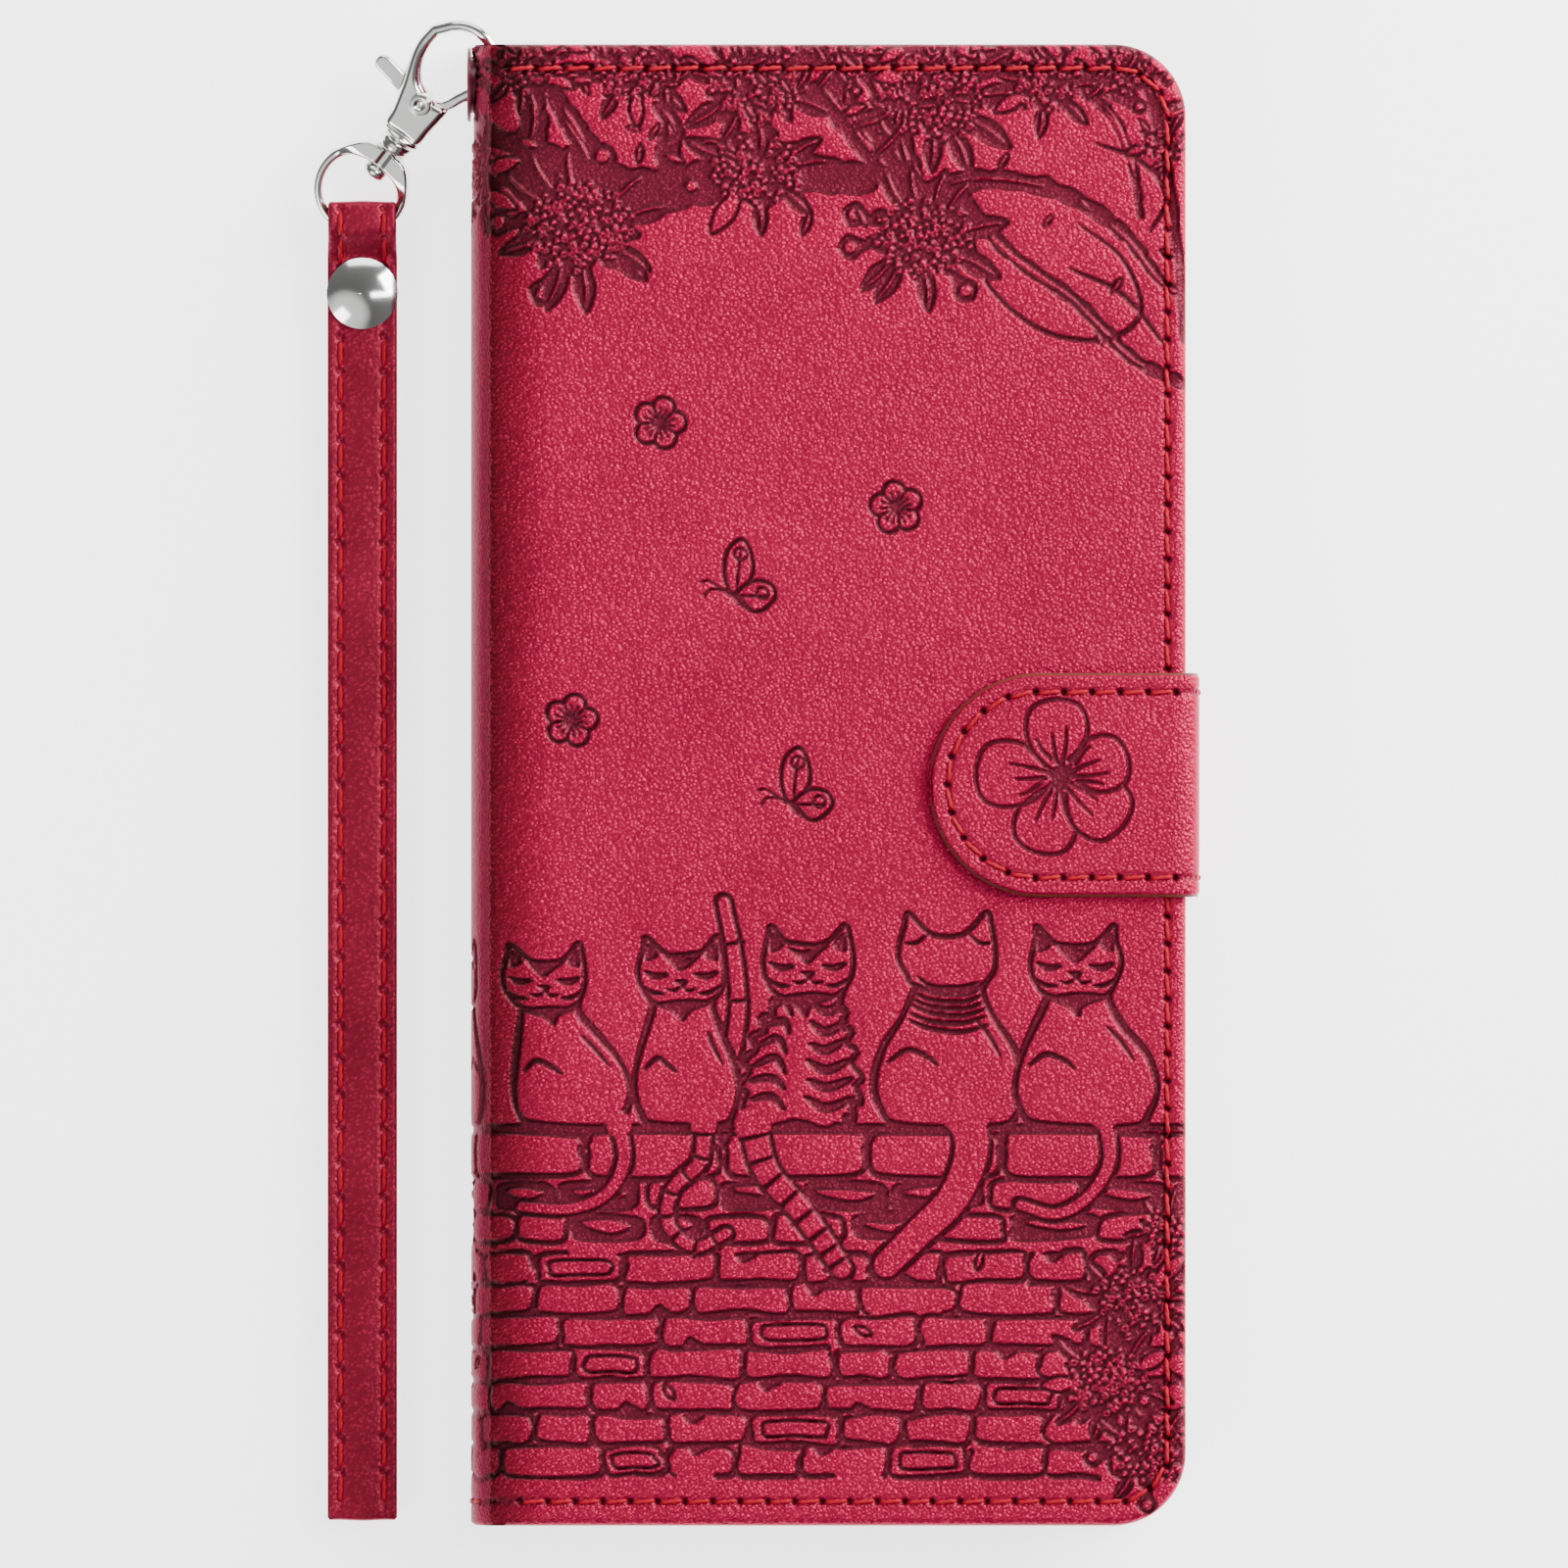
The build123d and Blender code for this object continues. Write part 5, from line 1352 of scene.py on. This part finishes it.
flat_run = np.hypot(*(RING_AT[:2] - HOOK_LOOP))
flat_way = (RING_AT[:2] - HOOK_LOOP) / flat_run
RING_ALONG = flat_run / np.cos(HOOK_TILT)
HOOK_WAY = np.array([*(flat_way * np.cos(HOOK_TILT)), -np.sin(HOOK_TILT)])
HOOK_UP = np.array([*(flat_way * np.sin(HOOK_TILT)), np.cos(HOOK_TILT)])
HOOK_SIDE = np.cross(HOOK_UP, HOOK_WAY)
HOOK_START = RING_AT - RING_ALONG * HOOK_WAY


def hook_space(along, across, up):
    """Place in space of a point given along, across and above the hook's middle plane."""
    parts = (np.asarray(v, float)[..., None] for v in (along, across, up))
    return HOOK_START + sum(value * way for value, way in zip(parts, (HOOK_WAY, HOOK_SIDE, HOOK_UP)))


def cast_plan(plan, shapes, blend):
    """Depth inside some bands and outlines, run together smoothly where they meet."""
    depth = None
    for points, width in shapes:
        if width is None:
            away = plan.inside(points, WHOLE_PLAN)[1]
        else:
            away = plan.reach(points, width, WHOLE_PLAN)[1]
        depth = -away if depth is None else (depth - away + np.sqrt((depth + away) ** 2 + blend**2)) / 2
    return depth


def cast_metal(name, low, high, shapes, thickness, rounding, step=0.09, blend=0.5):
    """Cast piece with the same rounded relief above and below the hook's middle plane."""
    plan = Canvas(low, high, step)
    depth = cast_plan(plan, shapes, blend)
    slope_u, slope_y = np.gradient(depth, step)
    slope = np.maximum(np.hypot(slope_u, slope_y), 0.3)
    u, y = np.meshgrid(plan.x, plan.y, indexing="ij")
    quads = grid_faces(*depth.shape)
    depth, u, y, slope = depth.ravel(), u.ravel(), y.ravel(), slope.ravel()
    quads = quads[depth[quads].mean(1) > 0]
    used = np.bincount(quads.ravel(), minlength=len(u))
    border = (used > 0) & (used < 4)
    shift = np.where(border, np.clip(depth / slope**2, -step, step), 0.0)
    u = u - slope_u.ravel() * shift
    y = y - slope_y.ravel() * shift
    inner = np.clip(depth / rounding(u), 0, 1)
    rise = np.where(border, 0.0, thickness(u, y) * np.sqrt(1 - (1 - inner) ** 2))
    keep, below = np.flatnonzero(used), np.flatnonzero((used > 0) & ~border)
    top = np.full(len(u), -1)
    top[keep] = np.arange(len(keep))
    under = top.copy()
    under[below] = len(keep) + np.arange(len(below))
    upper = hook_space(u[keep], y[keep], rise[keep])
    lower = hook_space(u[below], y[below], -rise[below])
    return new_mesh(name, np.vstack([upper, lower]), np.vstack([top[quads], under[quads][:, ::-1]]))


def turned_metal(name, profile, place_ring, count=64):
    """Round piece turned from a profile of radius and place along its axis."""
    turn = np.linspace(0, 2 * np.pi, count, endpoint=False)
    rings = [place_ring(*(radius * polar(turn)), np.full(count, along)) for radius, along in profile]
    index = np.arange(len(profile) * count).reshape(len(profile), count)
    after = np.roll(index, -1, axis=1)
    walls = np.stack([index[:-1], after[:-1], after[1:], index[1:]], -1).reshape(-1, 4)
    return new_mesh(name, np.vstack(rings), [walls, index[:1, ::-1], index[-1:]])


def about_axis(first, second, along):
    """Point round the hook's own axis."""
    return hook_space(along, first, second)


def about_rivet(first, second, along):
    """Point round the trigger's rivet."""
    return hook_space(RIVET_AT[0] + first, RIVET_AT[1] + second, along)


def ease(value):
    """Smooth step from 0 to 1."""
    value = np.clip(value, 0, 1)
    return value * value * (3 - 2 * value)


def hook_shape():
    """The open loop, running into a drop-shaped body."""
    drop = [(1.0, -4.6), (3.4, -4.35), (6.4, -3.6), (8.8, -2.95), (10.8, -2.5), (10.9, 0), (10.8, 2.1)]
    drop += [(8.4, 2.35), (5.5, 2.5), (5.05, 2.0), (5.2, 0.4), (4.7, -1.4), (3.6, -2.9), (2.4, -3.7)]
    loop_end = smooth([(-1.2, -4.3), (0.6, -4.4), (2.4, -4.1), (4.2, -3.3)])
    loop = np.vstack([arc(LOOP_RADIUS, 115, 232), loop_end])
    return [(loop, WIRE), (smooth(drop, closed=True, per=5), None)]


def trigger_shape():
    """The thumb lever and the gate that closes the loop."""
    gate = [(6.0, 0.2), (5.0, 1.75), (3.4, 2.5), (1.9, 3.2), (0.6, 3.8), (-0.58, 4.1)]
    return [(np.array([(6.0, -2.6), (5.7, -4.6), (5.4, -6.6)]), 2.2), (smooth(gate), GATE_WIRE)]


def swivel_shape():
    """The round ring and the thick bar that the pin goes through."""
    bar = [(13.1, -1.7), (13.1, 1.7), (13.7, 3.0), (15.0, 4.05), (16.4, 4.55), (16.9, 4.2), (15.9, 3.0)]
    bar += [(15.3, 1.2), (15.3, -1.2), (15.9, -3.0), (16.9, -4.2), (16.4, -4.55), (15.0, -4.05), (13.7, -3.0)]
    ring = arc(RING_RADIUS, 0, 360, (RING_ALONG, 0), 120)
    return [(ring, RING_WIRE), (smooth(bar, closed=True, per=5), None)]


def rivet_profile():
    """Both heads of the rivet, each with a rolled rim and a dimple, as radius and height."""
    head = [(0.02, 0.2), (0.3, 0.17), (0.5, 0.28), (0.62, 0.46), (0.8, 0.46), (0.86, 0.2), (0.98, 0.2)]
    head += [(1.08, 0.42), (1.22, 0.4), (1.3, 0.2), (1.32, -0.3)]
    upper = [(radius, RIVET_LEVEL + up) for radius, up in head]
    lower = [(radius, -RIVET_LEVEL - up) for radius, up in head[::-1]]
    return (upper + lower)[::-1]


COLLAR = [(1.0, 10.3), (2.2, 10.62), (2.38, 10.75), (2.38, 10.95), (2.2, 11.06), (1.5, 11.1), (1.5, 11.32)]
COLLAR += [(1.85, 11.36), (1.98, 11.5), (1.98, 11.95), (1.82, 12.0), (1.82, 12.1), (1.98, 12.15)]
COLLAR += [(1.98, 12.62), (1.85, 12.75), (0.6, 12.78)]
PIN = [(0.02, 12.5), (0.62, 12.5), (0.62, 15.3), (1.25, 15.4), (1.42, 15.6), (1.42, 16.15), (1.2, 16.4)]
PIN += [(0.5, 16.48), (0.02, 16.4)]



def swivel_thickness(u, y):
    """Thin wire for the ring, and a thicker bar that is waisted at the pin."""
    return 0.55 + 0.6 * ease((17.2 - u) / 2.2) * (1 - 0.5 * np.exp(-((y / 0.5) ** 4)))


hook_casting = cast_metal("hook_casting", (-6, -6), (12, 6), hook_shape(),
                          lambda u, y: 0.65 + 0.65 * ease((u + 0.5) / 5.5), lambda u: 0.65 + 0.35 * ease(u / 5))
hook_collar = turned_metal("hook_collar", COLLAR, about_axis)
trigger_casting = cast_metal("trigger_casting", (-2, -9), (9, 6), trigger_shape(),
                             lambda u, y: 0.6 + 0.15 * ease((-y - 3) / 2),
                             lambda u: 0.45 + 0.15 * ease((4.5 - u) / 1.5))
rivet_heads = turned_metal("rivet_heads", rivet_profile(), about_rivet)
swivel_casting = cast_metal("swivel_casting", (12.5, -6), (25, 6), swivel_shape(), swivel_thickness,
                            lambda u: 0.55 - 0.2 * ease((17.0 - u) / 1.5), blend=0.3)
pin_head = turned_metal("pin_head", PIN, about_axis)
for piece, body, nodes in (
    (hook_casting, "hook", ["hook_body"]),
    (hook_collar, "hook", []),
    (rivet_heads, "hook", ["trigger_rivet"]),
    (pin_head, "hook", ["swivel_pin"]),
    (trigger_casting, "trigger", ["trigger_lever"]),
    (swivel_casting, "swivel_eye", ["swivel_eye"]),
):
    piece.data.materials.append(steel)
    if nodes:
        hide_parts(*nodes)
    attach(piece, body)

# ------------------------------------------------------------------ finishes of the CAD pieces
RIM = 0.12
for material, rounding, node_names in (
    (steel, RIM, ("strap_rivet_cap", "strap_rivet_post", "strap_rivet_base")),
    (lacquered_metal, RIM, ("eyelet", "eyelet_washer")),
    (spring_steel, 0, ("trigger_spring",)),
    (magnet_steel, 0, ("front_magnet", "clasp_magnet")),
    (lining_leather, 0, ("back_lining", "spine_lining", "front_lining", "strap_lining")),
    (pocket_leather, RIM, ("cash_pocket_panel", "card_slot_1", "card_slot_2", "card_slot_3")),
    (board_card, 0, ("back_board", "front_board")),
    (outer_leather, 0, ("clasp_base_leather",)),
    (glue, 0, ("shell_adhesive",)),
    (shell_plastic, 0.2, ("phone_shell",)),
):
    for node_name in node_names:
        paint(node_name, material, rounding)

# ------------------------------------------------------------------ floor, light and camera
bpy.ops.mesh.primitive_plane_add(size=3.0, location=(0, 0, 0))
floor = bpy.context.object
floor.name = "floor"
floor_finish = {"Emission Color": (1, 1, 1, 1), "Emission Strength": 2.5}
floor.data.materials.append(plain_material("floor_white", (0.95, 0.95, 0.95), 0.7, extra=floor_finish))


def soft_light(name, place_at, width, height, power):
    """Rectangular studio light facing the case."""
    light = bpy.data.lights.new(name, "AREA")
    light.shape = "RECTANGLE"
    light.size, light.size_y, light.energy = width, height, power
    lamp = bpy.data.objects.new(name, light)
    bpy.context.scene.collection.objects.link(lamp)
    lamp.location = place_at
    lamp.rotation_euler = (-Vector(place_at)).to_track_quat("-Z", "Y").to_euler()


soft_light("key", (0.6, 0.36, 0.4), 0.42, 0.9, 17.5)
soft_light("right_strip", (0.5, 0.05, 0.95), 0.12, 0.7, 2.6)
soft_light("top_fill", (0.0, 0.75, 0.5), 0.7, 0.4, 3.5)
soft_light("left_fill", (-0.6, -0.5, 0.75), 0.3, 0.5, 3.0)
world = bpy.data.worlds.new("studio")
world.use_nodes = True
sky = world.node_tree
SOFTBOX_WAY = (-0.36, -0.44, 0.82)
towards = add_node(sky, "ShaderNodeVectorMath", [("operation", "DOT_PRODUCT")],
                   [(0, add_node(sky, "ShaderNodeTexCoord").outputs["Generated"])])
towards.inputs[1].default_value = SOFTBOX_WAY
SKY_GREYS = ((0.0, 0.16), (0.45, 0.2), (0.84, 0.14), (0.93, 1.0))
sky_stops = [(place_at, (grey, grey, grey)) for place_at, grey in SKY_GREYS]
level = ramp_node(sky, towards.outputs["Value"], sky_stops)
sky.links.new(level, sky.nodes["Background"].inputs["Color"])
sky.nodes["Background"].inputs["Strength"].default_value = 1.0
bpy.context.scene.world = world

FIELD = 0.176                 # width of the picture at the case, in metres
SENSOR = 36
CAMERA_MIDDLE = (-0.00495, 0.00011)
lens = bpy.data.cameras.new("camera")
lens.sensor_width = SENSOR
lens.lens = 1200
camera = bpy.data.objects.new("camera", lens)
bpy.context.scene.collection.objects.link(camera)
camera.location = (*CAMERA_MIDDLE, TOP_Z * MM + FIELD * lens.lens / SENSOR)
bpy.context.scene.camera = camera
